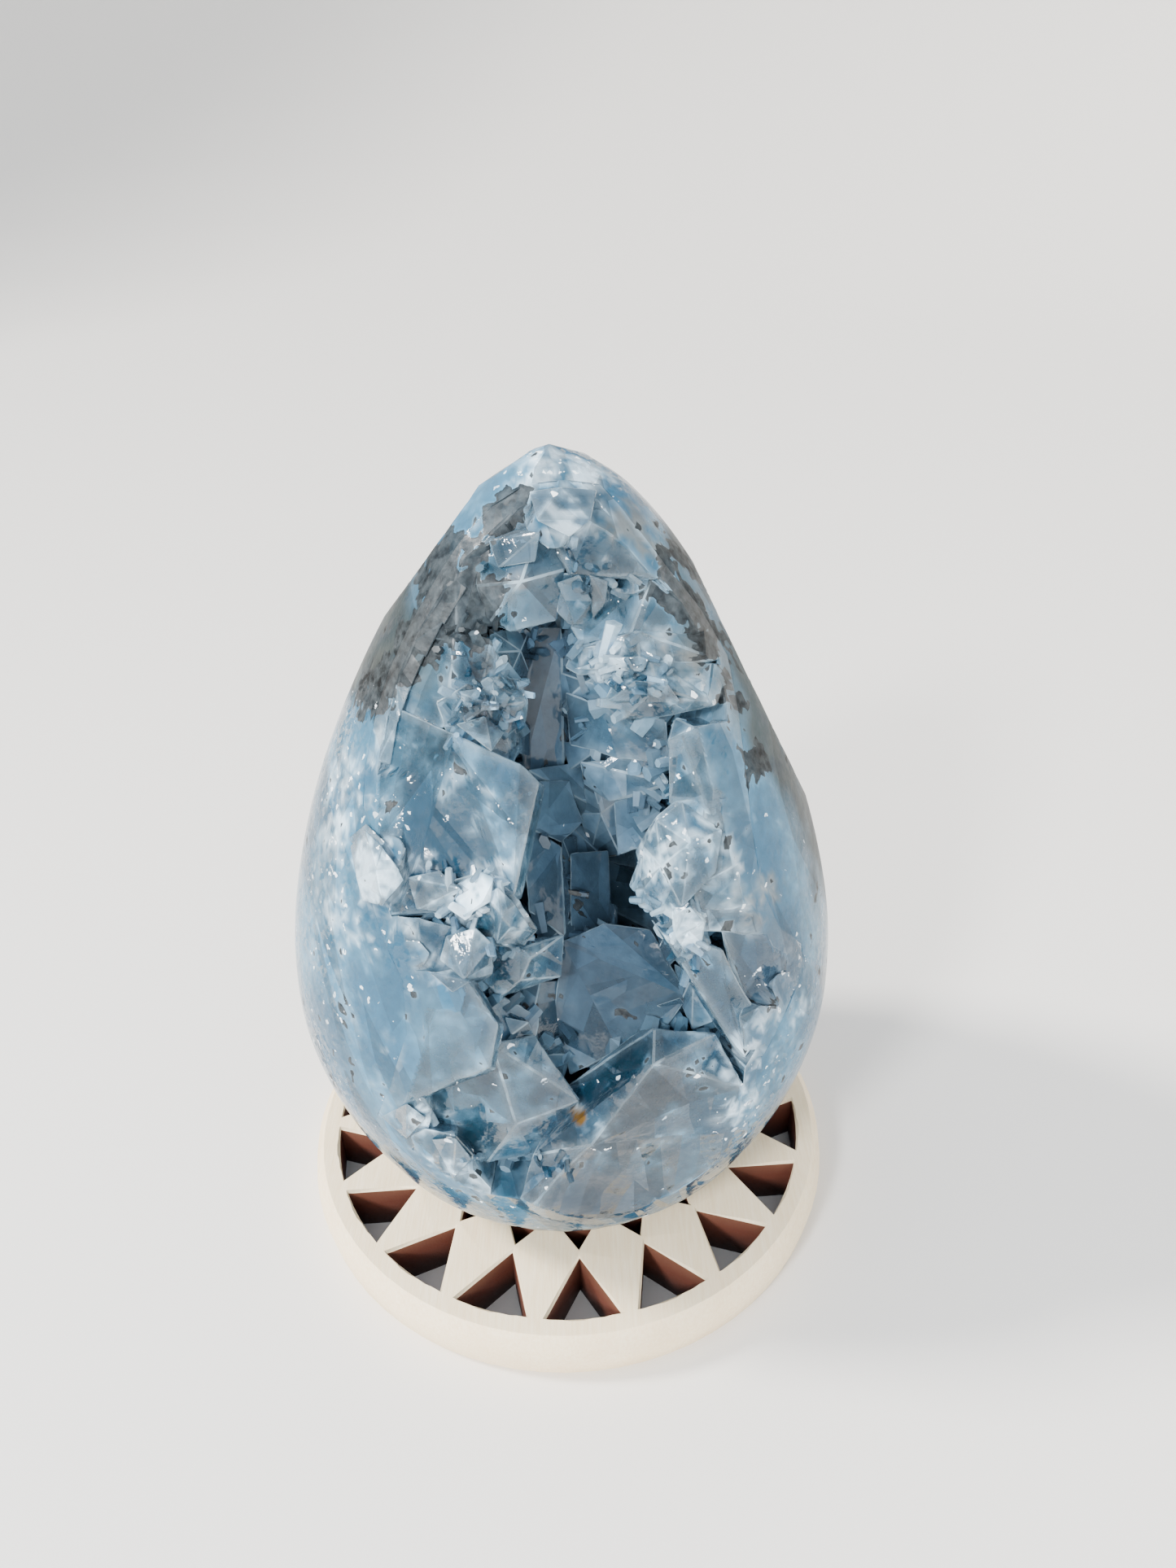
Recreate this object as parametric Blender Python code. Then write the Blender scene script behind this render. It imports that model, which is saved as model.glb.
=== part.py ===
"""A celestite geode, ground and polished to a standing egg, on an openwork wooden disc.

Three pieces: the polished egg with its natural hollow open at the front (-Y), the crust of
celestite crystals that lines the hollow, and the round wooden stand with two rings of
triangular windows. The origin is under the middle of the stand, +Z is up.
"""

import math
import random

import bmesh
import bpy
import numpy as np
from mathutils import Matrix, Vector

MM = 0.001

# Driving dimensions
STAND_RADIUS = 42.8 * MM
STAND_THICKNESS = 8.0 * MM
EGG_HEIGHT = 111.0 * MM
EGG_RADIUS = 39.8 * MM
CLEARANCE = 0.3 * MM

# The stand's windows, all measured from its axis
WINDOW_COUNT = 18
FIRST_WINDOW_ANGLE = math.radians(-6.2)
OUTER_WINDOW_ARC_RADIUS = 38.6 * MM
OUTER_WINDOW_APEX_RADIUS = 28.9 * MM
OUTER_WINDOW_HALF_ANGLE = math.radians(8.0)
INNER_WINDOW_APEX_RADIUS = 27.5 * MM
INNER_WINDOW_BASE_RADIUS = 23.6 * MM
INNER_WINDOW_HALF_ANGLE = math.radians(6.2)
WINDOW_EASING = 0.45 * MM
RIM_ROUNDING = 1.6 * MM
RIM_STEPS = 4
STAND_SIDES_PER_WINDOW = 4

# The egg's profile: share of the height, share of the largest radius
EGG_PROFILE = [
    (0.000, 0.300),
    (0.010, 0.480),
    (0.060, 0.745),
    (0.150, 0.890),
    (0.240, 0.972),
    (0.330, 1.000),
    (0.450, 0.962),
    (0.600, 0.838),
    (0.750, 0.642),
    (0.880, 0.418),
    (0.950, 0.255),
    (0.985, 0.120),
]
EGG_SIDES = 44
PROFILE_STEPS = 2

# Where the front was seen from, so that a corner can be named by its place in that view
VIEW_WIDTH = 1445
VIEW_HEIGHT = 1927
VIEW_FOCAL = 1300.0
VIEW_PLACE = Vector((4.1, -129.1, 147.8)) * MM
VIEW_PITCH = math.radians(30.3)
VIEW_ROLL = math.radians(-0.75)

# The rim of the hollow as seen from the front, clockwise from the top left
HOLLOW_RIM = [
    (646, 596), (692, 590), (738, 596), (775, 640), (818, 695), (862, 750), (893, 805),
    (905, 860), (914, 930), (922, 1010), (934, 1090), (958, 1140), (985, 1160), (985, 1195),
    (958, 1258), (930, 1310), (920, 1375), (898, 1432), (850, 1470), (790, 1494),
    (735, 1506), (680, 1500), (635, 1482), (590, 1474), (545, 1454), (500, 1418), (462, 1378),
    (480, 1335), (500, 1270), (495, 1205), (470, 1150), (452, 1090), (446, 1016), (450, 940),
    (462, 875), (480, 820), (505, 765), (535, 712), (568, 662), (605, 622),
]
# Flats left by the grinding wheel, each through two places on the outline
GRINDING_FLATS = [
    ((716, 551), (815, 618)), ((815, 618), (876, 744)), ((590, 596), (656, 551)),
    ((515, 700), (590, 596)),
]
HOLLOW_SPINE_BOTTOM = Vector((2.0, -6.0, 34.0)) * MM
HOLLOW_SPINE_TOP = Vector((-1.0, -1.0, 88.0)) * MM
HOLLOW_BULGE = 9.0 * MM
HOLLOW_FRONT = Vector((0.0, -80.0, 52.0)) * MM
RIM_OVERSHOOT = 6.0 * MM
LINING = 2.6 * MM

# The crystals that stand out. Each face corner is its place in the front view and how far
# it lies under the egg's polished surface, in mm; the root is the same for its foot.
CRYSTALS = {
    "left_blade": (
        [(420, 868, -3), (478, 866, 0.6), (560, 903, 1.4), (640, 938, 2.6), (662, 962, 3.0),
         (632, 1098, 3.8), (585, 1135, 4.0), (500, 1115, 2.2), (415, 1110, -3), (410, 960, -4),
         (671, 966, 5.2), (641, 1106, 6.0)],
        (500, 1000, 24),
    ),
    "left_point": (
        [(553, 1082, 2.4), (600, 1070, 3.2), (640, 1108, 4.0), (662, 1143, 7.5),
         (640, 1166, 7.5), (600, 1162, 5.0), (560, 1130, 3.2), (622, 1128, 3.0)],
        (560, 1120, 18),
    ),
    "left_knob": (
        [(430, 1120, -4), (517, 1126, 1.0), (560, 1140, 2.0), (607, 1160, 5.0), (607, 1198, 6.0),
         (580, 1213, 5.5), (540, 1216, 2.6), (440, 1200, -4)],
        (510, 1170, 18),
    ),
    "green_point": (
        [(592, 1162, 8.0), (640, 1166, 8.5), (694, 1148, 13.5), (690, 1200, 13.0),
         (614, 1226, 9.0), (593, 1206, 8.0), (652, 1178, 8.8), (640, 1205, 8.6)],
        (590, 1180, 28),
    ),
    "low_left_blade": (
        [(440, 1180, -4), (540, 1192, -1), (577, 1206, 0.4), (612, 1258, 0.8), (602, 1312, 0.8),
         (470, 1364, -1), (420, 1352, -4), (410, 1230, -5), (586, 1206, 3.2), (620, 1260, 3.4),
         (609, 1315, 3.4)],
        (480, 1270, 20),
    ),
    "front_low": (
        [(658, 1272, 9.5), (604, 1282, 6.0), (712, 1352, 7.0), (712, 1371, 9.0),
         (656, 1418, 8.5), (598, 1430, 6.5), (505, 1372, 4.0), (520, 1310, 5.0),
         (634, 1382, 5.0)],
        (600, 1320, 26),
    ),
    "rim_block": (
        [(440, 1362, -3), (524, 1345, 1.0), (534, 1364, 1.8), (528, 1386, 2.0),
         (505, 1415, 0.5), (470, 1400, -3)],
        (520, 1340, 16),
    ),
    "rim_plate": (
        [(505, 1396, 0.2), (522, 1386, 0.8), (560, 1396, 1.4), (582, 1420, 3.0),
         (577, 1441, 3.0), (552, 1460, 0.0), (515, 1436, -3)],
        (560, 1370, 16),
    ),
    "rim_knob": (
        [(551, 1443, 1.6), (582, 1436, 2.4), (607, 1452, 3.4), (609, 1475, 3.4),
         (592, 1486, 0.0), (556, 1476, -3)],
        (600, 1400, 18),
    ),
    "gap_plate": (
        [(606, 1418, 11), (660, 1418, 11), (655, 1470, 13), (608, 1466, 12)],
        (630, 1410, 26),
    ),
    "front_right": (
        [(788, 1264, 9.0), (804, 1264, 6.4), (880, 1270, 5.0), (904, 1330, 1.6),
         (930, 1384, -4), (915, 1445, -4), (830, 1492, -3), (745, 1518, -3), (700, 1514, -2),
         (645, 1484, 0.5), (641, 1462, 3.4), (654, 1420, 6.4), (698, 1334, 11.0),
         (803, 1308, 2.6), (727, 1407, 2.6)],
        (790, 1350, 30),
    ),
    "right_prism": (
        [(816, 1150, 5.0), (886, 1166, 2.4), (929, 1249, 2.0), (906, 1294, 3.6),
         (799, 1129, 10.0), (902, 1300, 8.0)],
        (900, 1210, 22),
    ),
    "right_slab": (
        [(885, 1140, 3.0), (964, 1140, 0.5), (992, 1178, -1.0), (958, 1245, 1.6),
         (930, 1268, 3.6), (900, 1210, 4.8)],
        (930, 1200, 18),
    ),
    "right_burr_top": (
        [(806, 1002, 5.5), (779, 1046, 9.0), (783, 1060, 8.5), (850, 1090, 2.0),
         (930, 1050, -2.0), (925, 985, -2.0), (868, 978, 0.6), (830, 984, 3.2)],
        (880, 1040, 22),
    ),
    "right_burr_middle": (
        [(786, 1052, 8.0), (771, 1088, 10.5), (776, 1096, 10.0), (850, 1120, 2.6),
         (940, 1110, -2.0), (940, 1040, -2.0), (850, 1040, 1.6)],
        (880, 1080, 22),
    ),
    "right_burr_low": (
        [(779, 1092, 9.5), (784, 1114, 9.0), (824, 1130, 6.0), (866, 1144, 2.6),
         (962, 1146, -2.0), (950, 1090, -2.0), (850, 1085, 1.8)],
        (890, 1110, 20),
    ),
    "right_bud": (
        [(824, 1116, 2.2), (850, 1112, 1.0), (868, 1130, 0.8), (862, 1160, 1.6),
         (845, 1176, 3.2), (828, 1160, 4.0)],
        (850, 1140, 14),
    ),
    "right_shoulder": (
        [(821, 910, 3.0), (838, 902, 1.0), (880, 883, -1.5), (918, 896, -2.0),
         (936, 915, -2.0), (946, 990, -2.0), (872, 1002, 0.4), (822, 988, 4.4)],
        (890, 950, 20),
    ),
    "clear_knob": (
        [(590, 848, 3.4), (612, 830, 4.0), (640, 834, 6.0), (650, 862, 7.4), (646, 888, 7.8),
         (622, 905, 6.0), (600, 880, 3.6)],
        (600, 862, 22),
    ),
    "clear_cluster": (
        [(535, 862, 1.4), (575, 840, 2.4), (610, 860, 4.0), (636, 900, 7.4), (632, 938, 7.4),
         (590, 922, 4.6), (550, 906, 2.4)],
        (580, 880, 20),
    ),
    "lens_plate": (
        [(741, 866, 9.0), (765, 884, 8.4), (814, 880, 5.4), (885, 866, -1), (895, 815, -2),
         (800, 812, 2.6), (755, 830, 7.2), (806, 846, 2.6)],
        (790, 850, 24),
    ),
    "long_plate": (
        [(694, 820, 11.0), (712, 831, 10.0), (790, 822, 4.2), (888, 812, -2),
         (884, 770, -3), (780, 775, 3.0), (705, 795, 9.0)],
        (760, 800, 24),
    ),
    "top_right_slab": (
        [(700, 770, 9.0), (752, 722, 5.4), (800, 712, 1.2), (872, 745, -3), (880, 775, -3),
         (770, 790, 4.2), (715, 796, 8.4)],
        (770, 760, 22),
    ),
    "hanging_cluster": (
        [(586, 682, 1.2), (620, 652, 1.2), (664, 642, 1.6), (690, 655, 2.4), (694, 700, 3.4),
         (684, 762, 8.0), (627, 778, 7.0), (600, 767, 4.6), (584, 720, 2.0), (640, 715, 1.8)],
        (650, 680, 24),
    ),
    "hanging_shell": (
        [(682, 704, 3.8), (730, 706, 3.0), (752, 714, 3.6), (748, 738, 5.6), (730, 768, 8.0),
         (700, 769, 8.4), (684, 752, 7.2)],
        (710, 700, 18),
    ),
    "top_plates": (
        [(672, 640, 0.8), (735, 622, -1.5), (800, 660, -3), (830, 705, -3), (800, 714, 1.0),
         (700, 708, 3.0), (684, 680, 2.6)],
        (735, 675, 18),
    ),
    "tip_window": (
        [(652, 590, -2), (740, 588, -2), (745, 632, 0.4), (700, 662, 2.2), (650, 645, 2.0)],
        (700, 630, 14),
    ),
    "tip_left": (
        [(575, 630, -3), (630, 592, -3), (655, 604, -1), (654, 648, 1.8), (600, 684, 2.2),
         (545, 690, -3)],
        (610, 655, 16),
    ),
    "matrix_left": (
        [(500, 712, -3), (560, 670, -2), (592, 684, 1.4), (600, 778, 4.6), (560, 790, 2.4),
         (480, 775, -3)],
        (560, 735, 18),
    ),
    "upper_left_slab": (
        [(430, 885, -3), (470, 780, -3), (560, 772, 2.0), (604, 785, 4.6), (626, 836, 7.0),
         (590, 850, 4.2), (545, 896, 2.4)],
        (545, 815, 22),
    ),
    "floor_slab": (
        [(690, 1158, 17), (742, 1134, 18), (800, 1142, 17), (846, 1225, 12), (818, 1264, 12),
         (760, 1290, 12), (700, 1322, 13), (680, 1250, 15)],
        (765, 1215, 40),
    ),
    "floor_wedge": (
        [(600, 1214, 9.5), (664, 1250, 11.5), (660, 1274, 11), (612, 1318, 8), (608, 1260, 9)],
        (620, 1258, 26),
    ),
    "left_wall_low": (
        [(640, 1010, 15), (690, 1040, 18), (704, 1110, 20), (694, 1152, 17), (650, 1120, 14)],
        (640, 1070, 34),
    ),
    "left_wall_high": (
        [(652, 960, 15), (700, 958, 19), (716, 1010, 21), (690, 1036, 19), (655, 1020, 15)],
        (650, 1000, 34),
    ),
    "back_blade": (
        [(640, 772, 13), (690, 770, 14), (704, 860, 18), (692, 952, 20), (642, 946, 18),
         (644, 850, 16)],
        (664, 860, 34),
    ),
    "right_wall_plate": (
        [(694, 850, 15), (740, 868, 11), (818, 886, 7), (824, 940, 7.6), (760, 932, 12),
         (700, 916, 16)],
        (765, 895, 32),
    ),
    "right_wall_step": (
        [(712, 936, 16), (806, 930, 10), (822, 962, 9), (792, 978, 13), (748, 986, 17),
         (716, 962, 18)],
        (775, 955, 32),
    ),
    "deep_post": (
        [(754, 985, 17), (800, 972, 13), (796, 1040, 15), (758, 1052, 19)],
        (785, 1000, 34),
    ),
    "deep_left_post": (
        [(700, 1048, 19), (748, 1044, 23), (752, 1132, 23), (702, 1158, 19)],
        (715, 1100, 40),
    ),
}
ROOT_SCALE = 0.55
SLIVER = 0.002 * MM

# Smaller crystals that fill the hollow between the named ones
SMALL_CRYSTAL_COUNT = 34
SMALL_CRYSTAL_LENGTH = (4.0 * MM, 9.0 * MM)
SMALL_CRYSTAL_WIDTH = (2.2 * MM, 4.4 * MM)
SEED = 7

COLOURS = {
    "polished_celestite": (0.33, 0.42, 0.50),
    "crystal_celestite": (0.30, 0.43, 0.55),
    "pale_plywood": (0.74, 0.64, 0.52),
}


def clear_scene():
    for thing in list(bpy.data.objects):
        bpy.data.objects.remove(thing, do_unlink=True)


def material(name, roughness):
    made = bpy.data.materials.new(name)
    made.use_nodes = True
    shader = made.node_tree.nodes["Principled BSDF"]
    shader.inputs["Base Color"].default_value = (*COLOURS[name], 1.0)
    shader.inputs["Roughness"].default_value = roughness
    shader.inputs["Metallic"].default_value = 0.0
    return made


def object_from(name, shape):
    """A new object that holds a bmesh, which is freed."""
    mesh = bpy.data.meshes.new(name)
    bmesh.ops.recalc_face_normals(shape, faces=shape.faces)
    shape.to_mesh(mesh)
    shape.free()
    made = bpy.data.objects.new(name, mesh)
    bpy.context.scene.collection.objects.link(made)
    return made


def catmull_rom(points, steps):
    """A smooth curve through the points, with this many steps between each pair."""
    ends = [Vector(points[0]) * 2 - Vector(points[1])]
    ends += [Vector(p) for p in points]
    ends.append(Vector(points[-1]) * 2 - Vector(points[-2]))
    curve = []
    for a, b, c, d in zip(ends, ends[1:], ends[2:], ends[3:]):
        for step in range(steps):
            t = step / steps
            curve.append(
                0.5 * (2 * b + (c - a) * t + (2 * a - 5 * b + 4 * c - d) * t**2
                       + (3 * b - 3 * c + d - a) * t**3)
            )
    curve.append(ends[-2])
    return curve


EGG_FOOT = STAND_THICKNESS + CLEARANCE
EGG_CURVE = [
    (EGG_FOOT + point.x * EGG_HEIGHT, point.y * EGG_RADIUS)
    for point in catmull_rom(EGG_PROFILE, PROFILE_STEPS)
]
EGG_LEVELS = [z for z, radius in EGG_CURVE] + [EGG_FOOT + EGG_HEIGHT]
EGG_RADII = [radius for z, radius in EGG_CURVE] + [0.0]


def outside(point):
    """How far a point lies outside the egg, measured level; negative inside."""
    level = min(max(point.z, EGG_LEVELS[0]), EGG_LEVELS[-1])
    past = abs(point.z - level)
    return math.hypot(point.x, point.y) - float(np.interp(level, EGG_LEVELS, EGG_RADII)) + past


def sight_line(across, down):
    """The direction of a place in the front view."""
    forward = Vector((0.0, math.cos(VIEW_PITCH), -math.sin(VIEW_PITCH)))
    right = Vector((1.0, 0.0, 0.0))
    up = right.cross(forward)
    level_right = math.cos(VIEW_ROLL) * right + math.sin(VIEW_ROLL) * up
    level_up = math.cos(VIEW_ROLL) * up - math.sin(VIEW_ROLL) * right
    x = (across - VIEW_WIDTH / 2) / VIEW_FOCAL
    y = (down - VIEW_HEIGHT / 2) / VIEW_FOCAL
    return (forward + x * level_right - y * level_up).normalized()


def corner(across, down, sunk=0.0):
    """The point that far under the egg's surface (mm) at a place in the front view."""
    line = sight_line(across, down)
    reach = np.arange(70.0, 240.0, 0.5) * MM
    gaps = [outside(VIEW_PLACE + line * float(far)) for far in reach]
    inside = [i for i, gap in enumerate(gaps) if gap < 0.0]
    if not inside:
        far = float(reach[int(np.argmin(gaps))])
    else:
        near, far = float(reach[inside[0] - 1]), float(reach[inside[0]])
        for _ in range(12):
            middle = (near + far) / 2
            if outside(VIEW_PLACE + line * middle) < 0.0:
                far = middle
            else:
                near = middle
    return VIEW_PLACE + line * (far + sunk * MM)


def egg_solid():
    """The ground egg before the hollow, turned from its profile."""
    shape = bmesh.new()
    rings = []
    for level, radius in EGG_CURVE:
        rings.append([
            shape.verts.new((radius * math.cos(turn), radius * math.sin(turn), level))
            for turn in (2 * math.pi * i / EGG_SIDES for i in range(EGG_SIDES))
        ])
    for low, high in zip(rings, rings[1:]):
        for i in range(EGG_SIDES):
            j = (i + 1) % EGG_SIDES
            shape.faces.new((low[i], low[j], high[j], high[i]))
    shape.faces.new(rings[0][::-1])
    tip = shape.verts.new((0.0, 0.0, EGG_FOOT + EGG_HEIGHT))
    for i in range(EGG_SIDES):
        shape.faces.new((rings[-1][i], rings[-1][(i + 1) % EGG_SIDES], tip))
    for left, right in GRINDING_FLATS:
        start, end = corner(*left), corner(*right)
        outward = (end - start).cross(sight_line(*left)).normalized()
        cut = bmesh.ops.bisect_plane(
            shape, geom=shape.verts[:] + shape.edges[:] + shape.faces[:],
            plane_co=start, plane_no=outward, clear_outer=True,
        )
        bmesh.ops.edgeloop_fill(
            shape, edges=[e for e in cut["geom_cut"] if isinstance(e, bmesh.types.BMEdge)]
        )
    return shape


def hollow_solid(shrink):
    """The hollow with its mouth reaching past the egg, drawn in by shrink on every side."""
    shape = bmesh.new()
    rings = [[], [], [], []]
    for across, down in HOLLOW_RIM:
        rim = corner(across, down)
        share = (rim.z - HOLLOW_SPINE_BOTTOM.z) / (HOLLOW_SPINE_TOP.z - HOLLOW_SPINE_BOTTOM.z)
        spine = HOLLOW_SPINE_BOTTOM.lerp(HOLLOW_SPINE_TOP, min(max(share, 0.0), 1.0))
        away = (rim - spine).normalized()
        bulge = Vector((0.0, HOLLOW_BULGE, 0.0))
        rings[0].append(shape.verts.new(rim + away * RIM_OVERSHOOT))
        rings[1].append(shape.verts.new(rim))
        rings[2].append(shape.verts.new(rim.lerp(spine, 0.35) + bulge * 0.8))
        rings[3].append(shape.verts.new(rim.lerp(spine, 0.75) + bulge))
    for near, far in zip(rings, rings[1:]):
        for i in range(len(near)):
            j = (i + 1) % len(near)
            shape.faces.new((near[i], near[j], far[j], far[i]))
    front = shape.verts.new(HOLLOW_FRONT)
    middle = HOLLOW_SPINE_BOTTOM.lerp(HOLLOW_SPINE_TOP, 0.5)
    back = shape.verts.new(middle + Vector((0.0, HOLLOW_BULGE * 1.1, 0.0)))
    for i in range(len(HOLLOW_RIM)):
        j = (i + 1) % len(HOLLOW_RIM)
        shape.faces.new((rings[0][j], rings[0][i], front))
        shape.faces.new((rings[3][i], rings[3][j], back))
    bmesh.ops.recalc_face_normals(shape, faces=shape.faces)
    bmesh.ops.triangulate(shape, faces=shape.faces)
    shape.normal_update()
    moves = [(point, point.normal * -shrink) for point in shape.verts]
    for point, move in moves:
        point.co += move
    return shape


def hull(points):
    """The convex solid around the points."""
    shape = bmesh.new()
    made = [shape.verts.new(point) for point in points]
    result = bmesh.ops.convex_hull(shape, input=made)
    loose = [v for v in result["geom_interior"] if isinstance(v, bmesh.types.BMVert)]
    loose += [v for v in result["geom_unused"] if isinstance(v, bmesh.types.BMVert)]
    bmesh.ops.delete(shape, geom=list(set(loose)), context="VERTS")
    bmesh.ops.recalc_face_normals(shape, faces=shape.faces)
    return shape


def named_crystal(face, root):
    """A crystal through its visible corners, narrowing to its root in the rock."""
    corners = [corner(*place) for place in face]
    middle = sum(corners, Vector()) / len(corners)
    foot = corner(*root)
    feet = [foot + (point - middle) * ROOT_SCALE for point in corners]
    return hull(corners + feet)


def small_crystal(foot, direction, width, length, dice):
    """A celestite prism of six sides with a chisel end."""
    turn = direction.to_track_quat("Z", "Y").to_matrix().to_4x4()
    place = Matrix.Translation(foot) @ turn @ Matrix.Rotation(dice.uniform(0, math.pi), 4, "Z")
    flat = dice.uniform(0.55, 0.8)
    points = []
    for side in range(6):
        angle = math.pi / 3 * side
        x, y = width * math.cos(angle), width * flat * math.sin(angle)
        points.append(place @ Vector((x * 0.8, y * 0.8, -width)))
        points.append(place @ Vector((x, y, length * dice.uniform(0.6, 0.75))))
    ridge = width * dice.uniform(0.3, 0.6)
    points.append(place @ Vector((ridge, 0.0, length)))
    points.append(place @ Vector((-ridge, 0.0, length * dice.uniform(0.88, 1.0))))
    return hull(points)


def apply_boolean(target, operation, others):
    """The target's mesh after a Boolean with the other objects, which are removed."""
    tools = bpy.data.collections.new("tools")
    for other in others:
        bpy.context.scene.collection.objects.unlink(other)
        tools.objects.link(other)
    bpy.context.scene.collection.children.link(tools)
    cut = target.modifiers.new("cut", "BOOLEAN")
    cut.operation = operation
    cut.solver = "EXACT"
    cut.operand_type = "COLLECTION"
    cut.collection = tools
    seen = target.evaluated_get(bpy.context.evaluated_depsgraph_get())
    mesh = bpy.data.meshes.new_from_object(seen)
    target.modifiers.clear()
    target.data = mesh
    for other in others:
        bpy.data.objects.remove(other, do_unlink=True)
    bpy.data.collections.remove(tools)
    return target


def tidy_solid(target):
    """Merges hair-thin slivers and keeps only the largest closed body of a mesh."""
    shape = bmesh.new()
    shape.from_mesh(target.data)
    bmesh.ops.remove_doubles(shape, verts=shape.verts, dist=SLIVER)
    bmesh.ops.triangulate(shape, faces=shape.faces)
    seen, bodies = set(), []
    for start in shape.faces:
        if start in seen:
            continue
        body, queue = [], [start]
        seen.add(start)
        while queue:
            face = queue.pop()
            body.append(face)
            for edge in face.edges:
                for other in edge.link_faces:
                    if other not in seen:
                        seen.add(other)
                        queue.append(other)
        bodies.append(body)

    def volume(body):
        return sum(f.verts[0].co.dot(f.verts[1].co.cross(f.verts[2].co)) for f in body) / 6

    bodies.sort(key=volume)
    for body in bodies[:-1]:
        bmesh.ops.delete(shape, geom=body, context="FACES")
    shape.to_mesh(target.data)
    shape.free()
    return target


def build_egg():
    egg = object_from("geode_egg", egg_solid())
    hollow = object_from("hollow", hollow_solid(0.0))
    apply_boolean(egg, "DIFFERENCE", [hollow])
    tidy_solid(egg)
    egg.data.materials.clear()
    egg.data.materials.append(material("polished_celestite", 0.15))
    egg.data.shade_smooth()
    egg.data.set_sharp_from_angle(angle=math.radians(25))
    return egg


def small_crystals(dice):
    """Prisms on the hollow's wall, pointing out of it."""
    wall = hollow_solid(LINING * 0.5)
    wall.faces.ensure_lookup_table()
    faces = [
        face for face in wall.faces
        if outside(face.calc_center_median()) < -2.0 * MM
    ]
    areas = [face.calc_area() for face in faces]
    made = []
    for _ in range(SMALL_CRYSTAL_COUNT):
        face = dice.choices(faces, weights=areas)[0]
        a, b, c = (v.co for v in face.verts)
        u, v = dice.random(), dice.random()
        if u + v > 1.0:
            u, v = 1.0 - u, 1.0 - v
        foot = a + (b - a) * u + (c - a) * v
        lean = Vector([dice.uniform(-0.5, 0.5) for _ in range(3)])
        direction = (lean - face.normal * 1.0 + Vector((0.0, -0.5, 0.1))).normalized()
        width = dice.uniform(*SMALL_CRYSTAL_WIDTH)
        length = dice.uniform(*SMALL_CRYSTAL_LENGTH)
        made.append(small_crystal(foot, direction, width, length, dice))
    wall.free()
    return made


def build_crust():
    dice = random.Random(SEED)
    lining = object_from("crystal_crust", hollow_solid(0.0))
    air = object_from("air", hollow_solid(LINING))
    apply_boolean(lining, "DIFFERENCE", [air])
    crystals = [
        object_from(name, named_crystal(face, root)) for name, (face, root) in CRYSTALS.items()
    ]
    crystals += [object_from("small", shape) for shape in small_crystals(dice)]
    apply_boolean(lining, "UNION", crystals)
    limit = object_from("limit", hollow_solid(CLEARANCE * 1.5))
    apply_boolean(limit, "INTERSECT", [object_from("egg_limit", egg_solid())])
    apply_boolean(lining, "INTERSECT", [limit])
    tidy_solid(lining)
    lining.data.materials.clear()
    lining.data.materials.append(material("crystal_celestite", 0.08))
    return lining


def window_cutter(corners):
    """A prism through the disc with its edges flared to ease the window's rims."""
    middle = sum(corners, Vector((0.0, 0.0))) / len(corners)
    levels = [
        (-1.0 * MM, 0.0),
        (STAND_THICKNESS - WINDOW_EASING, 0.0),
        (STAND_THICKNESS + 1.0 * MM, WINDOW_EASING + 1.0 * MM),
    ]
    shape = bmesh.new()
    rings = []
    for level, grow in levels:
        rings.append([
            shape.verts.new((*(point + (point - middle).normalized() * grow), level))
            for point in corners
        ])
    count = len(corners)
    for low, high in zip(rings, rings[1:]):
        for i in range(count):
            j = (i + 1) % count
            shape.faces.new((low[i], low[j], high[j], high[i]))
    shape.faces.new(rings[0][::-1])
    shape.faces.new(rings[-1])
    return shape


def around(radius, angle):
    return Vector((radius * math.cos(angle), radius * math.sin(angle)))


def build_stand():
    profile = [(0.0, 0.0), (STAND_RADIUS - RIM_ROUNDING, 0.0)]
    half = STAND_THICKNESS / 2
    for step in range(1, RIM_STEPS):
        turn = -math.pi / 2 + math.pi * step / RIM_STEPS
        profile.append((
            STAND_RADIUS - RIM_ROUNDING + RIM_ROUNDING * math.cos(turn),
            half + half * math.sin(turn),
        ))
    profile += [(STAND_RADIUS - RIM_ROUNDING, STAND_THICKNESS), (0.0, STAND_THICKNESS)]
    sides = WINDOW_COUNT * STAND_SIDES_PER_WINDOW
    shape = bmesh.new()
    rings = [
        [shape.verts.new((*around(radius, 2 * math.pi * i / sides), level)) for i in range(sides)]
        for radius, level in profile[1:-1]
    ]
    for low, high in zip(rings, rings[1:]):
        for i in range(sides):
            j = (i + 1) % sides
            shape.faces.new((low[i], low[j], high[j], high[i]))
    shape.faces.new(rings[0][::-1])
    shape.faces.new(rings[-1])
    stand = object_from("wooden_stand", shape)
    cutters = []
    for k in range(WINDOW_COUNT):
        middle = FIRST_WINDOW_ANGLE + 2 * math.pi * k / WINDOW_COUNT
        arc = [
            around(OUTER_WINDOW_ARC_RADIUS, middle + OUTER_WINDOW_HALF_ANGLE * share)
            for share in (-1.0, -0.5, 0.0, 0.5, 1.0)
        ]
        outer = [around(OUTER_WINDOW_APEX_RADIUS, middle)] + arc
        inner = [
            around(INNER_WINDOW_APEX_RADIUS, middle),
            around(INNER_WINDOW_BASE_RADIUS, middle + INNER_WINDOW_HALF_ANGLE),
            around(INNER_WINDOW_BASE_RADIUS, middle - INNER_WINDOW_HALF_ANGLE),
        ]
        cutters.append(object_from("window", window_cutter(outer)))
        cutters.append(object_from("window", window_cutter(inner)))
    apply_boolean(stand, "DIFFERENCE", cutters)
    tidy_solid(stand)
    stand.data.materials.clear()
    stand.data.materials.append(material("pale_plywood", 0.75))
    stand.data.shade_smooth()
    stand.data.set_sharp_from_angle(angle=math.radians(28))
    return stand


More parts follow.
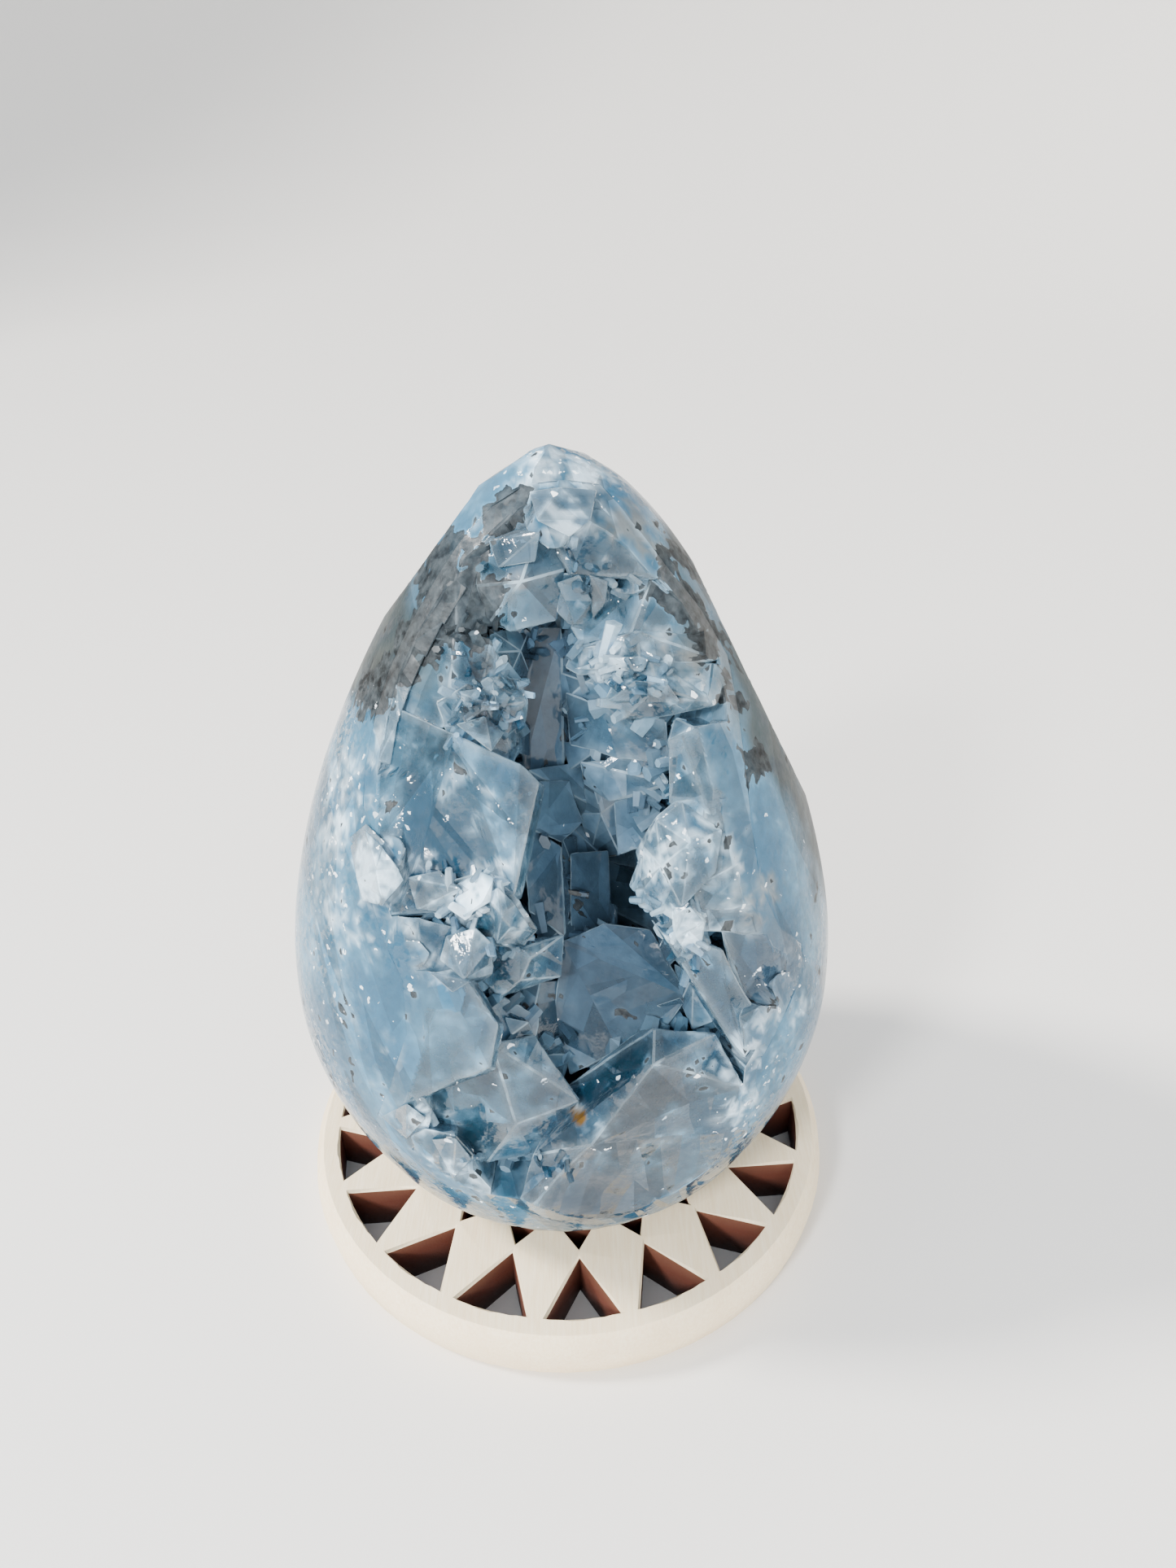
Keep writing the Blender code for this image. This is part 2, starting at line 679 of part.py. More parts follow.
def main():
    clear_scene()
    for made in (build_stand(), build_egg(), build_crust()):
        print(made.name, len(made.data.polygons), "triangles")


if __name__ == "__main__":
    main()
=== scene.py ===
# %% [markdown]
# # A celestite geode egg on an openwork wooden disc
# Celestite is strontium sulphate: pale blue, heavy and soft, and it grows as blades and
# blocks on the inner wall of a hollow in limestone. This one was ground and polished outside
# to a standing egg, and its crystals still fill the opening at the front. The scene starts
# from the CAD model, which fixes every size and place, and gives it finer surfaces,
# small crystals, materials, light and a camera.

# %% Load the CAD model
import math

import bmesh
import bpy
import numpy as np
from mathutils import Matrix, Vector, noise
from mathutils.bvhtree import BVHTree
from mathutils.kdtree import KDTree


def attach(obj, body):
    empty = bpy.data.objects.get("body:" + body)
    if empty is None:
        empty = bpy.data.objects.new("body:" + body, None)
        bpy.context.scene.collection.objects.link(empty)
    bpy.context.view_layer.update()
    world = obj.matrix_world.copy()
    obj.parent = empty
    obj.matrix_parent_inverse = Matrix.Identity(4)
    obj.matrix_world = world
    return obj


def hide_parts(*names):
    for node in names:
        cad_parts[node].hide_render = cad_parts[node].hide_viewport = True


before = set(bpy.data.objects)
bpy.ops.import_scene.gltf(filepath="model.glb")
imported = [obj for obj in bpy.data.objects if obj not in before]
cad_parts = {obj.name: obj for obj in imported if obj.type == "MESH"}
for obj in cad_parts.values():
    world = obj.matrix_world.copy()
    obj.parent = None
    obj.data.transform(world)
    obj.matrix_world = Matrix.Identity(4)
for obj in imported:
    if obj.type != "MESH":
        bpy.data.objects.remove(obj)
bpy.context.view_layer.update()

MM = 0.001

# %% [markdown]
# ## Camera
# The round disc and its ring of eighteen windows fix where the camera stood: about 130 mm in
# front of the egg's axis and 148 mm up, looking 30 degrees down, with a wide lens. A wide
# lens this close makes the lower part of the egg look broad and the tip small.

# %% Place the camera
VIEW_WIDTH, VIEW_HEIGHT, VIEW_FOCAL = 1445, 1927, 1300.0
VIEW_PLACE = Vector((4.1, -129.1, 147.8)) * MM
VIEW_PITCH, VIEW_ROLL = math.radians(30.3), math.radians(-0.75)

VIEW_FORWARD = Vector((0.0, math.cos(VIEW_PITCH), -math.sin(VIEW_PITCH)))
level_right = Vector((1.0, 0.0, 0.0))
level_up = level_right.cross(VIEW_FORWARD)
VIEW_RIGHT = math.cos(VIEW_ROLL) * level_right + math.sin(VIEW_ROLL) * level_up
VIEW_UP = math.cos(VIEW_ROLL) * level_up - math.sin(VIEW_ROLL) * level_right

camera = bpy.data.objects.new("camera", bpy.data.cameras.new("camera"))
camera.data.sensor_fit = "VERTICAL"
camera.data.sensor_height = 24.0
camera.data.lens = VIEW_FOCAL / VIEW_HEIGHT * 24.0
camera.data.clip_start = 0.005
turn = Matrix((VIEW_RIGHT, VIEW_UP, -VIEW_FORWARD)).transposed().to_4x4()
camera.matrix_world = Matrix.Translation(VIEW_PLACE) @ turn
bpy.context.scene.collection.objects.link(camera)
bpy.context.scene.camera = camera
print("lens", round(camera.data.lens, 2), "mm")

# %% [markdown]
# ## Colours and nodes
# Colours are given as the hex codes that a colour picker shows, and the shader needs them
# linear, so one function converts them. A second small function adds a node with its
# settings and links and gives back its outputs, which keeps each recipe readable from top to
# bottom.

# %% Two helpers
def linear(code):
    """The linear colour of an sRGB hex code."""
    parts = [int(code[i:i + 2], 16) / 255.0 for i in (0, 2, 4)]
    return (*[p / 12.92 if p <= 0.04045 else ((p + 0.055) / 1.055) ** 2.4 for p in parts], 1.0)


def add_node(tree, kind, settings=None, **inputs):
    """Adds a node and returns its outputs; an input is a value or a socket, by name or like _0."""
    node = tree.nodes.new(kind)
    for name, value in (settings or {}).items():
        setattr(node, name, value)
    for name, value in inputs.items():
        key = int(name[1:]) if name[0] == "_" else name.replace("_", " ")
        socket = node.inputs[key]
        if isinstance(value, bpy.types.NodeSocket):
            tree.links.new(value, socket)
        else:
            socket.default_value = value
    return node.outputs


print("milky celestite is", [round(c, 3) for c in linear("A9C3D3")[:3]])

# %% [markdown]
# ## Studio
# The picture was taken in soft daylight that falls from the left, a little from behind, so
# the front lies in an even, gentle light and the shadow falls to the right. A sun with soft
# edges gives that daylight. A pale sky fills the rest, and a soft lamp at the front left
# gives the small bright glints.

# %% Lights and sky
def lamp_at(name, kind, place, watts, colour, **settings):
    """A lamp at that place, turned to the middle of the egg."""
    lamp = bpy.data.lights.new(name, kind)
    lamp.energy, lamp.color = watts, linear(colour)[:3]
    for key, value in settings.items():
        setattr(lamp, key, value)
    made = bpy.data.objects.new(name, lamp)
    aim = (Vector((0.0, 0.0, 0.06)) - place).to_track_quat("-Z", "Y").to_matrix().to_4x4()
    made.matrix_world = Matrix.Translation(place) @ aim
    bpy.context.scene.collection.objects.link(made)
    return made


lamp_at("daylight", "SUN", Vector((-0.72, 0.06, 0.69)), 5.6, "FFFAF2", angle=math.radians(11))
lamp_at("glint_lamp", "AREA", Vector((-0.42, -0.62, 0.50)), 10.0, "FFFFFF", shape="DISK", size=0.16)
# a wide soft lamp straight in front reaches into the hollow, but no facet mirrors it
hollow_lamp = lamp_at("hollow_lamp", "AREA", Vector((0.04, -0.60, 0.34)), 1.8, "EAF1F8",
                      shape="DISK", size=0.30)
hollow_lamp.visible_glossy = False

print("daylight, a glint lamp and a lamp for the hollow")

# %% [markdown]
# A facet looks like glass only if there is something bright and something dark for it to
# mirror. So the sky is not even: it glows where the window is, at the upper left behind the
# egg, and fades to a dim room at the front right.

# %% Sky
WINDOW_SIDE = Vector((-0.75, 0.25, 0.60)).normalized()
sky = bpy.data.worlds.new("window_and_dim_room")
sky.use_nodes = True
bpy.context.scene.world = sky
tree = sky.node_tree
direction = add_node(tree, "ShaderNodeTexCoord")["Generated"]
towards = add_node(tree, "ShaderNodeVectorMath", {"operation": "DOT_PRODUCT"}, _0=direction,
                   _1=WINDOW_SIDE)
glow = add_node(tree, "ShaderNodeMapRange", {"interpolation_type": "SMOOTHSTEP"},
                Value=towards["Value"], From_Min=-0.7, From_Max=0.9, To_Min=0.28, To_Max=2.1)
tree.links.new(glow["Result"], tree.nodes["Background"].inputs["Strength"])
tree.nodes["Background"].inputs["Color"].default_value = linear("E6ECF2")
print("sky of", len(tree.nodes), "nodes")

# %% The floor
FLOOR_FLAT, FLOOR_REACH, FLOOR_LIFT = 1.1, 2.2, 1.0
shape = bmesh.new()
rings = []
for step in range(12):
    bend = math.pi / 2 * step / 11
    radius = FLOOR_FLAT + (FLOOR_REACH - FLOOR_FLAT) * math.sin(bend)
    rings.append([
        shape.verts.new((radius * math.cos(a), radius * math.sin(a), FLOOR_LIFT * (1 - math.cos(bend))))
        for a in (2 * math.pi * i / 96 for i in range(96))
    ])
shape.faces.new(rings[0])
for low, high in zip(rings, rings[1:]):
    for i in range(96):
        shape.faces.new((low[i], high[i], high[(i + 1) % 96], low[(i + 1) % 96]))
mesh = bpy.data.meshes.new("floor")
shape.to_mesh(mesh)
shape.free()
floor = bpy.data.objects.new("floor", mesh)
bpy.context.scene.collection.objects.link(floor)
floor.data.shade_smooth()
paper = bpy.data.materials.new("matt_paper")
paper.use_nodes = True
paper.node_tree.nodes["Principled BSDF"].inputs["Base Color"].default_value = linear("E9E6E2")
paper.node_tree.nodes["Principled BSDF"].inputs["Roughness"].default_value = 0.8
floor.data.materials.append(paper)
print("floor of", len(mesh.polygons), "faces")

# %% [markdown]
# ## Working copies of the CAD meshes
# A CAD mesh is loose triangles, and only as many as its shape needs. A working copy is merged
# first, and then its long edges are cut, so that there are enough points to carry colour and
# to round the polished outside.

# %% Copy, merge and refine
def merged_copy(node):
    """The node's mesh as one joined bmesh."""
    shape = bmesh.new()
    shape.from_mesh(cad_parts[node].data)
    bmesh.ops.remove_doubles(shape, verts=shape.verts, dist=0.002 * MM)
    return shape


def refine(shape, longest, wanted=None):
    """Halves every edge longer than that, where wanted, until none is left."""
    layer = shape.faces.layers.int.get("facet")
    # bevelling leaves points and faces in a new order in each run, and the scatter of small
    # crystals follows their order, so both are sorted here
    corners = sorted(shape.verts, key=lambda v: v.co[:])
    place = {v: i for i, v in enumerate(corners)}
    points = [v.co.copy() for v in corners]
    chosen = [wanted is None or wanted(p) for p in points]
    # each triangle is its three corners, from the lowest number on, and its facet's number
    pieces = []
    for face in shape.faces:
        a, b, c = (place[v] for v in face.verts)
        pieces.append((*min((a, b, c), (b, c, a), (c, a, b)), face[layer] if layer else 0))
    pieces.sort()
    halved = True
    while halved:
        halves = {}
        for a, b, c, _ in pieces:
            for pair in ((a, b), (b, c), (c, a)):
                key = (min(pair), max(pair))
                if key not in halves and chosen[a] and chosen[b] and chosen[c]:
                    if (points[pair[0]] - points[pair[1]]).length > longest:
                        halves[key] = len(points)
                        points.append((points[pair[0]] + points[pair[1]]) / 2)
                        chosen.append(True)
        halved = bool(halves)
        finer = []
        for a, b, c, number in pieces:
            cuts = [halves.get((min(pair), max(pair))) for pair in ((a, b), (b, c), (c, a))]
            # turn the triangle so that its first edge is cut, and its third one only if all are
            while any(cuts) and (cuts[0] is None or (cuts[2] is not None and cuts[1] is None)):
                a, b, c = b, c, a
                cuts = [*cuts[1:], cuts[0]]
            first, second, third = cuts
            if first is None:
                finer.append((a, b, c, number))
            elif second is None:
                finer += [(a, first, c, number), (first, b, c, number)]
            elif third is None:
                finer += [(first, b, second, number), (a, first, second, number), (a, second, c, number)]
            else:
                finer += [(a, first, third, number), (first, b, second, number),
                          (third, second, c, number), (first, second, third, number)]
        pieces = finer
    mesh = bpy.data.meshes.new("refined")
    mesh.from_pydata(points, [], [piece[:3] for piece in pieces])
    numbers = mesh.attributes.new("facet", "INT", "FACE")
    numbers.data.foreach_set("value", [piece[3] for piece in pieces])
    shape.clear()
    shape.from_mesh(mesh)
    bpy.data.meshes.remove(mesh)


def smooth(value, low, high):
    """0 below low, 1 above high, and a soft step between them."""
    t = np.clip((value - low) / (high - low), 0, 1)
    return t * t * (3 - 2 * t)


def new_piece(name, shape):
    mesh = bpy.data.meshes.new(name)
    shape.to_mesh(mesh)
    shape.free()
    made = bpy.data.objects.new(name, mesh)
    bpy.context.scene.collection.objects.link(made)
    return made


def finish_piece(made, slot, *nodes):
    """The finished piece rides on the frame and stands for its CAD nodes."""
    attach(made, "root")
    if nodes:
        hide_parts(*nodes)
    print(made.name, len(made.data.polygons), "faces")


print({name: len(node.data.polygons) for name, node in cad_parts.items()})

# %% [markdown]
# ## The egg's true outline
# The CAD egg is turned from a profile of twelve points in short flats. The same profile,
# followed smoothly, says how far any point lies outside or under the polished surface. It
# also turns a place in the camera's view into a point on the stone, so that a vein or a
# stain can be put where it is seen.

# %% Profile and sight lines
EGG_FOOT, EGG_HEIGHT, EGG_RADIUS, EGG_SIDES = 8.3 * MM, 111.0 * MM, 39.8 * MM, 44
EGG_PROFILE = [
    (0.000, 0.300), (0.010, 0.480), (0.060, 0.745), (0.150, 0.890), (0.240, 0.972),
    (0.330, 1.000), (0.450, 0.962), (0.600, 0.838), (0.750, 0.642), (0.880, 0.418),
    (0.950, 0.255), (0.985, 0.120),
]


def outline(steps):
    """Levels and radii along the profile, with this many steps between its points."""
    ends = [2 * np.array(EGG_PROFILE[0]) - EGG_PROFILE[1], *np.array(EGG_PROFILE)]
    ends.append(2 * ends[-1] - ends[-2])
    curve = []
    for a, b, c, d in zip(ends, ends[1:], ends[2:], ends[3:]):
        for t in np.arange(steps) / steps:
            bend = (2 * a - 5 * b + 4 * c - d) * t**2 + (3 * b - 3 * c + d - a) * t**3
            curve.append(0.5 * (2 * b + (c - a) * t + bend))
    curve += [np.array(EGG_PROFILE[-1]), np.array((1.0, 0.0))]
    return (EGG_FOOT + np.array([p[0] for p in curve]) * EGG_HEIGHT,
            np.array([p[1] for p in curve]) * EGG_RADIUS)


SMOOTH_OUTLINE, CAD_OUTLINE = outline(12), outline(2)


def outside(points):
    """How far each point lies outside the polished egg, in metres; negative inside."""
    points = np.atleast_2d(points)
    return np.hypot(points[:, 0], points[:, 1]) - np.interp(points[:, 2], *SMOOTH_OUTLINE)


def outside_cad(points):
    """The same for the CAD egg, whose outline is a polygon of 44 sides."""
    part = 2 * math.pi / EGG_SIDES
    turn = np.arctan2(points[:, 1], points[:, 0]) % part - part / 2
    reach = np.hypot(points[:, 0], points[:, 1]) * np.cos(turn)
    return reach - np.interp(points[:, 2], *CAD_OUTLINE) * math.cos(part / 2)


def sight_line(across, down):
    x, y = (across - VIEW_WIDTH / 2) / VIEW_FOCAL, (down - VIEW_HEIGHT / 2) / VIEW_FOCAL
    return (VIEW_FORWARD + x * VIEW_RIGHT - y * VIEW_UP).normalized()


print("widest", round(float(SMOOTH_OUTLINE[0][SMOOTH_OUTLINE[1].argmax()]) / MM, 1), "mm up")

# %% The polished shell
def settle(mesh, which=None, band=(0.14, 0.34), sink=0.0):
    """Moves points that lie just off the smooth outline onto it."""
    co = np.array([v.co for v in mesh.vertices])
    off = outside(co)
    share = 1 - smooth(np.abs(off) / MM, *band)
    share[(co[:, 2] < EGG_FOOT + 0.5 * MM) | (co[:, 2] > EGG_FOOT + 0.985 * EGG_HEIGHT)] = 0
    if which is not None:
        share[~which] = 0
    scale = 1 - share * (off + sink) / np.maximum(np.hypot(co[:, 0], co[:, 1]), 1 * MM)
    co[:, 0] *= scale
    co[:, 1] *= scale
    mesh.vertices.foreach_set("co", co.ravel())
    mesh.update()


shell_shape = merged_copy("geode_egg")
refine(shell_shape, 1.4 * MM, lambda co: outside(co)[0] > -0.6 * MM)
polished_shell = new_piece("polished_shell", shell_shape)
settle(polished_shell.data)
print("shell", len(polished_shell.data.polygons), "faces")

# %% [markdown]
# ## The crystals' facets
# A natural crystal's edges are sharp, but never razor sharp: a narrow strip along each edge
# catches the light as a fine bright line. The copy gets that strip first. Then each facet is
# numbered, because facets differ in tone and in the direction of their fine lines, and last
# the natural facets get a slight waviness, while the ground ones stay smooth.

# %% The crystal crust
EDGE_WIDTH = 0.18 * MM
egg_tree = BVHTree.FromObject(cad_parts["geode_egg"], bpy.context.evaluated_depsgraph_get())
crust_shape = merged_copy("crystal_crust")
bmesh.ops.dissolve_limit(
    crust_shape, angle_limit=math.radians(1.0), verts=crust_shape.verts, edges=crust_shape.edges,
)
by_wall = {v for v in crust_shape.verts if egg_tree.find_nearest(v.co)[3] < 0.62 * MM}
sharp = [
    e for e in crust_shape.edges
    if e.is_convex and e.calc_face_angle(0.0) > math.radians(18)
    and not (e.verts[0] in by_wall and e.verts[1] in by_wall)
]
bmesh.ops.bevel(
    crust_shape, geom=sharp, offset=EDGE_WIDTH, offset_type="OFFSET", segments=1, profile=0.5,
    affect="EDGES", clamp_overlap=False,
)
facet = crust_shape.faces.layers.int.new("facet")
for number, face in enumerate(crust_shape.faces):
    face[facet] = number
bmesh.ops.triangulate(crust_shape, faces=crust_shape.faces)


def shows(co):
    return egg_tree.find_nearest(co)[3] > 0.9 * MM or outside(co)[0] > -1.0 * MM


refine(crust_shape, 1.25 * MM, shows)
crystals = new_piece("crystals", crust_shape)


def noise_at(co, size, seed, octaves=3):
    """Soft noise around 0.5, with lumps of that size."""
    shift = Vector((17.3, 5.1, 9.7)) * seed
    return 0.5 + 0.5 * np.array([
        noise.fractal(Vector(p) / size + shift, 0.9, 2.0, octaves) for p in co
    ])


mesh = crystals.data
co = np.array([v.co for v in mesh.vertices])
off = outside(co)
ground = np.abs(outside_cad(co)) < 0.03 * MM
# close to the rim, facets that lie just under the polish rise to it, so that no ledge shows
from_rim = np.array([egg_tree.find_nearest(p)[3] for p in co]) / MM
worn = (1 - smooth(from_rim, 1.5, 9.0)) * smooth(off / MM, -2.8, -1.7) * (co[:, 2] < 86 * MM) * ~ground
scale = 1 - worn * off / np.maximum(np.hypot(co[:, 0], co[:, 1]), 1 * MM)
co[:, :2] *= scale[:, None]
ground |= worn > 0.9
for i, point in enumerate(co):
    near, _, _, gap = egg_tree.find_nearest(point)
    if gap < 0.62 * MM:
        co[i] = Vector(point) + (near - Vector(point)).normalized() * (gap + 0.25 * MM)
mesh.vertices.foreach_set("co", co.ravel())
settle(mesh, ground, sink=0.01 * MM)
co = np.array([v.co for v in mesh.vertices])
normals = np.array([v.normal for v in mesh.vertices])
wave = (noise_at(co, 3.5 * MM, 1) - 0.5) * 0.30 * MM + (noise_at(co, 1.1 * MM, 2) - 0.5) * 0.10 * MM
walled = np.array([egg_tree.find_nearest(p)[3] < 0.7 * MM for p in co])
natural = np.clip(-outside(co) / (0.8 * MM), 0, 1) * ~ground * ~walled
co += normals * (wave * natural)[:, None]
mesh.vertices.foreach_set("co", co.ravel())
mesh.update()
mesh.attributes.new("ground", "FLOAT", "POINT").data.foreach_set("value", ground * 1.0)
print("crystals", len(mesh.polygons), "faces")

# %% The wooden disc
disc = new_piece("openwork_disc", merged_copy("wooden_stand"))
print("disc", len(disc.data.polygons), "faces")

# %% [markdown]
# ## Where the stone changes
# Each crack, cloud, patch of rock and stain has its place. A place is given by where the
# camera sees it, the sight line is followed to the stone, and every point of the mesh near
# that spot gets a share of the patch. Noise tears the patch's edge, so that it never looks
# round.

# %% Patches by kind: (across, down, radius in mm, strength)
PATCHES = {
    # white where fine cracks and cleavage fill the crystal
    "frost": [
        (464, 1068, 4.5, 1.0), (455, 1095, 3.0, 0.9), (472, 900, 3.0, 0.6), (458, 940, 3.5, 0.6),
        (450, 985, 3.0, 0.6), (600, 1092, 4.5, 0.8), (570, 1115, 4.0, 0.7), (540, 1095, 3.5, 0.5),
        (520, 1075, 4.5, 0.4), (635, 1125, 3.0, 0.7), (622, 1150, 3.0, 0.6), (560, 1180, 4.5, 0.5),
        (500, 1150, 4.0, 0.4), (440, 1140, 4.0, 0.5), (415, 1110, 5.0, 0.5), (410, 1030, 6.0, 0.6),
        (400, 1180, 5.0, 0.3), (455, 1290, 6.0, 0.2), (420, 1330, 5.0, 0.3), (520, 1370, 4.0, 0.6),
        (556, 1425, 4.0, 0.7), (590, 1460, 3.0, 0.6), (690, 572, 5.0, 0.8), (722, 582, 4.0, 0.8),
        (650, 598, 3.0, 0.5), (690, 625, 4.5, 0.5), (700, 650, 3.0, 0.8), (720, 735, 3.0, 0.4),
        (740, 700, 4.0, 0.3), (745, 815, 3.5, 0.8), (720, 832, 3.0, 0.5), (820, 800, 5.0, 0.4),
        (850, 830, 5.0, 0.4), (815, 1045, 5.0, 0.6), (850, 1012, 4.0, 0.6), (895, 1075, 5.0, 0.45),
        (800, 1085, 4.0, 0.5), (846, 1145, 4.0, 0.9), (930, 1120, 5.0, 0.45), (925, 1300, 5.5, 0.6),
        (912, 1360, 5.0, 0.6), (945, 1250, 4.0, 0.6), (970, 1185, 4.0, 0.5), (985, 1240, 5.0, 0.4), (400, 1100, 6.0, 0.6), (420, 960, 6.0, 0.6),
        (760, 1392, 3.5, 0.35), (800, 1400, 3.5, 0.4), (690, 1415, 3.5, 0.35), (670, 1460, 3.5, 0.3),
        (760, 1490, 3.0, 0.3), (545, 850, 4.0, 0.3), (505, 860, 3.0, 0.4), (600, 830, 3.0, 0.3),
        (575, 985, 4.0, 0.35), (640, 950, 3.0, 0.4),
    ],
    # scattered small white flecks
    "fleck": [
        (430, 900, 6.0, 0.9), (425, 980, 7.0, 1.0), (405, 1080, 7.0, 1.0), (400, 1160, 7.0, 0.9),
        (455, 1000, 6.0, 0.7), (420, 1220, 7.0, 0.6), (460, 1160, 6.0, 0.6), (400, 1300, 7.0, 0.5),
        (700, 575, 7.0, 1.0), (930, 1320, 8.0, 0.8), (960, 1220, 6.0, 0.7), (905, 1400, 6.0, 0.6),
        (840, 1040, 6.0, 0.6), (745, 815, 4.0, 0.5), (880, 1080, 6.0, 0.5), (545, 1420, 6.0, 0.4),
        (470, 1330, 6.0, 0.3), (690, 625, 4.0, 0.4),
    ],
    # clear crystal that shows its inside
    "clear": [
        (600, 860, 6.0, 1.0), (570, 890, 6.0, 0.8), (640, 690, 7.0, 0.7), (720, 730, 5.0, 0.8),
        (800, 850, 6.0, 0.7), (650, 1190, 6.0, 0.8), (790, 1340, 11.0, 0.6), (740, 1440, 8.0, 0.7),
        (640, 1350, 9.0, 0.6), (885, 1210, 7.0, 0.4), (650, 1000, 5.0, 0.6), (700, 1080, 12.0, 0.5),
        (690, 900, 12.0, 0.5), (760, 1220, 12.0, 0.4),
    ],
    # the grey-brown limestone that the geode grew in
    "rock": [
        (558, 742, 6.5, 1.0), (540, 705, 5.5, 1.0), (575, 690, 3.0, 0.8), (520, 780, 5.0, 0.9),
        (505, 795, 4.0, 0.5), (458, 848, 5.0, 0.9), (620, 622, 2.6, 0.9), (612, 643, 2.6, 0.8),
        (825, 700, 3.0, 0.6), (846, 735, 4.0, 0.7), (860, 770, 4.0, 0.5), (800, 705, 2.5, 0.4),
        (590, 770, 2.5, 0.4), (480, 830, 2.5, 0.5), (500, 820, 3.0, 0.7), (535, 740, 3.5, 0.8),
        (885, 800, 5.0, 0.6), (845, 690, 4.0, 0.6), (900, 860, 4.0, 0.4), (925, 930, 4.0, 0.4),
    ],
    # painted shade: crystal so deep or so clear that it looks dark is painted dark slate
    "deep": [
        (755, 1185, 11.0, 0.9), (720, 1250, 7.0, 0.9), (670, 1240, 6.0, 0.9), (690, 1300, 5.0, 0.8),
        (830, 1225, 5.0, 0.7), (665, 900, 7.0, 0.9), (665, 800, 6.0, 0.9), (630, 790, 5.0, 0.9),
        (720, 980, 10.0, 0.9), (690, 1080, 9.0, 0.8), (740, 1090, 7.0, 1.0), (955, 1180, 8.0, 0.9),
        (735, 1470, 9.0, 0.8), (660, 1440, 7.0, 0.5), (640, 1250, 5.0, 0.6), (640, 1340, 8.0, 0.4),
        (800, 1390, 9.0, 0.2), (640, 690, 6.0, 0.6), (680, 740, 6.0, 0.6), (640, 1195, 4.0, 0.4),
        (400, 1265, 9.0, 0.75), (425, 1340, 8.0, 0.6), (560, 1265, 8.0, 0.35),
    ],
    # warm beige zones just under the polish
    "beige": [
        (770, 640, 5.0, 0.8), (795, 670, 4.0, 0.7), (750, 620, 3.5, 0.6), (840, 810, 4.0, 0.7),
        (870, 790, 4.0, 0.6), (880, 850, 4.0, 0.5), (935, 1120, 5.0, 0.6), (950, 1090, 4.0, 0.5),
        (618, 1140, 3.0, 0.4), (860, 735, 3.0, 0.5), (905, 1105, 4.0, 0.4),
    ],
    # small crystals that grew on the large ones
    "druse": [
        (560, 1110, 4.0, 0.7), (588, 1098, 3.0, 0.7), (600, 1172, 2.5, 0.6), (520, 1085, 3.5, 0.5),
        (560, 720, 4.0, 0.6), (575, 770, 3.5, 0.6), (548, 690, 3.5, 0.6), (520, 800, 4.0, 0.4),
        (600, 850, 4.5, 0.6), (570, 900, 4.0, 0.5), (630, 900, 3.5, 0.5), (655, 790, 3.0, 0.5),
        (792, 1108, 2.0, 0.6), (815, 1118, 2.5, 0.7), (846, 1150, 3.0, 0.7), (880, 1035, 3.0, 0.3),
        (742, 818, 3.5, 0.8), (770, 850, 4.0, 0.5), (820, 820, 5.0, 0.35), (720, 880, 3.0, 0.5),
        (680, 1430, 3.0, 0.6), (662, 1465, 2.5, 0.6), (520, 1385, 3.0, 0.5), (565, 1440, 3.5, 0.7),
        (615, 630, 2.5, 0.8), (690, 655, 3.0, 0.5), (740, 715, 3.0, 0.5), (590, 1175, 4.0, 0.4),
        (845, 1195, 3.0, 0.4), (800, 700, 3.0, 0.35), (850, 760, 4.0, 0.35),
    ],
    # iron stains
    "ochre": [(639, 716, 1.7, 0.8), (658, 1272, 1.3, 1.0), (711, 1371, 1.3, 1.0), (520, 850, 1.5, 0.4)],
}
print({kind: len(spots) for kind, spots in PATCHES.items()}, "patches")

# %% From the camera's view to shares on the mesh
graph = bpy.context.evaluated_depsgraph_get()
trees = [BVHTree.FromObject(made, graph) for made in (polished_shell, crystals)]


def seen_at(across, down):
    """The first point of the stone at a place in the camera's view."""
    line = sight_line(across, down)
    hits = [tree.ray_cast(VIEW_PLACE, line) for tree in trees]
    hits = [hit for hit in hits if hit[0] is not None]
    return min(hits, key=lambda hit: hit[3])[0] if hits else None


SPOTS = {
    kind: [(seen_at(across, down), radius * MM, strength) for across, down, radius, strength in spots]
    for kind, spots in PATCHES.items()
}


def shares(co, kind):
    """How much of that kind each point has, 0 to 1, before its edge is torn."""
    share = np.zeros(len(co))
    for spot, radius, strength in SPOTS[kind]:
        if spot is not None:
            far = np.linalg.norm(co - np.array(spot), axis=1) / radius
            share = np.maximum(share, strength * np.clip(1.4 - far, 0, 1))
    return share


print("spots missed:", sum(s[0] is None for spots in SPOTS.values() for s in spots))

# %% [markdown]
# ## Crystals that stand out of the crust
# Some crystals are too small for the CAD solid: the white block in the left side, the clear
# lumps under the upper left slab, the burrs on the right. Each is the convex solid around a
# few corners, given by their place in the view and how far they stand out of what is seen
# there, which is quick and always closed. A narrow bevel softens its edges.

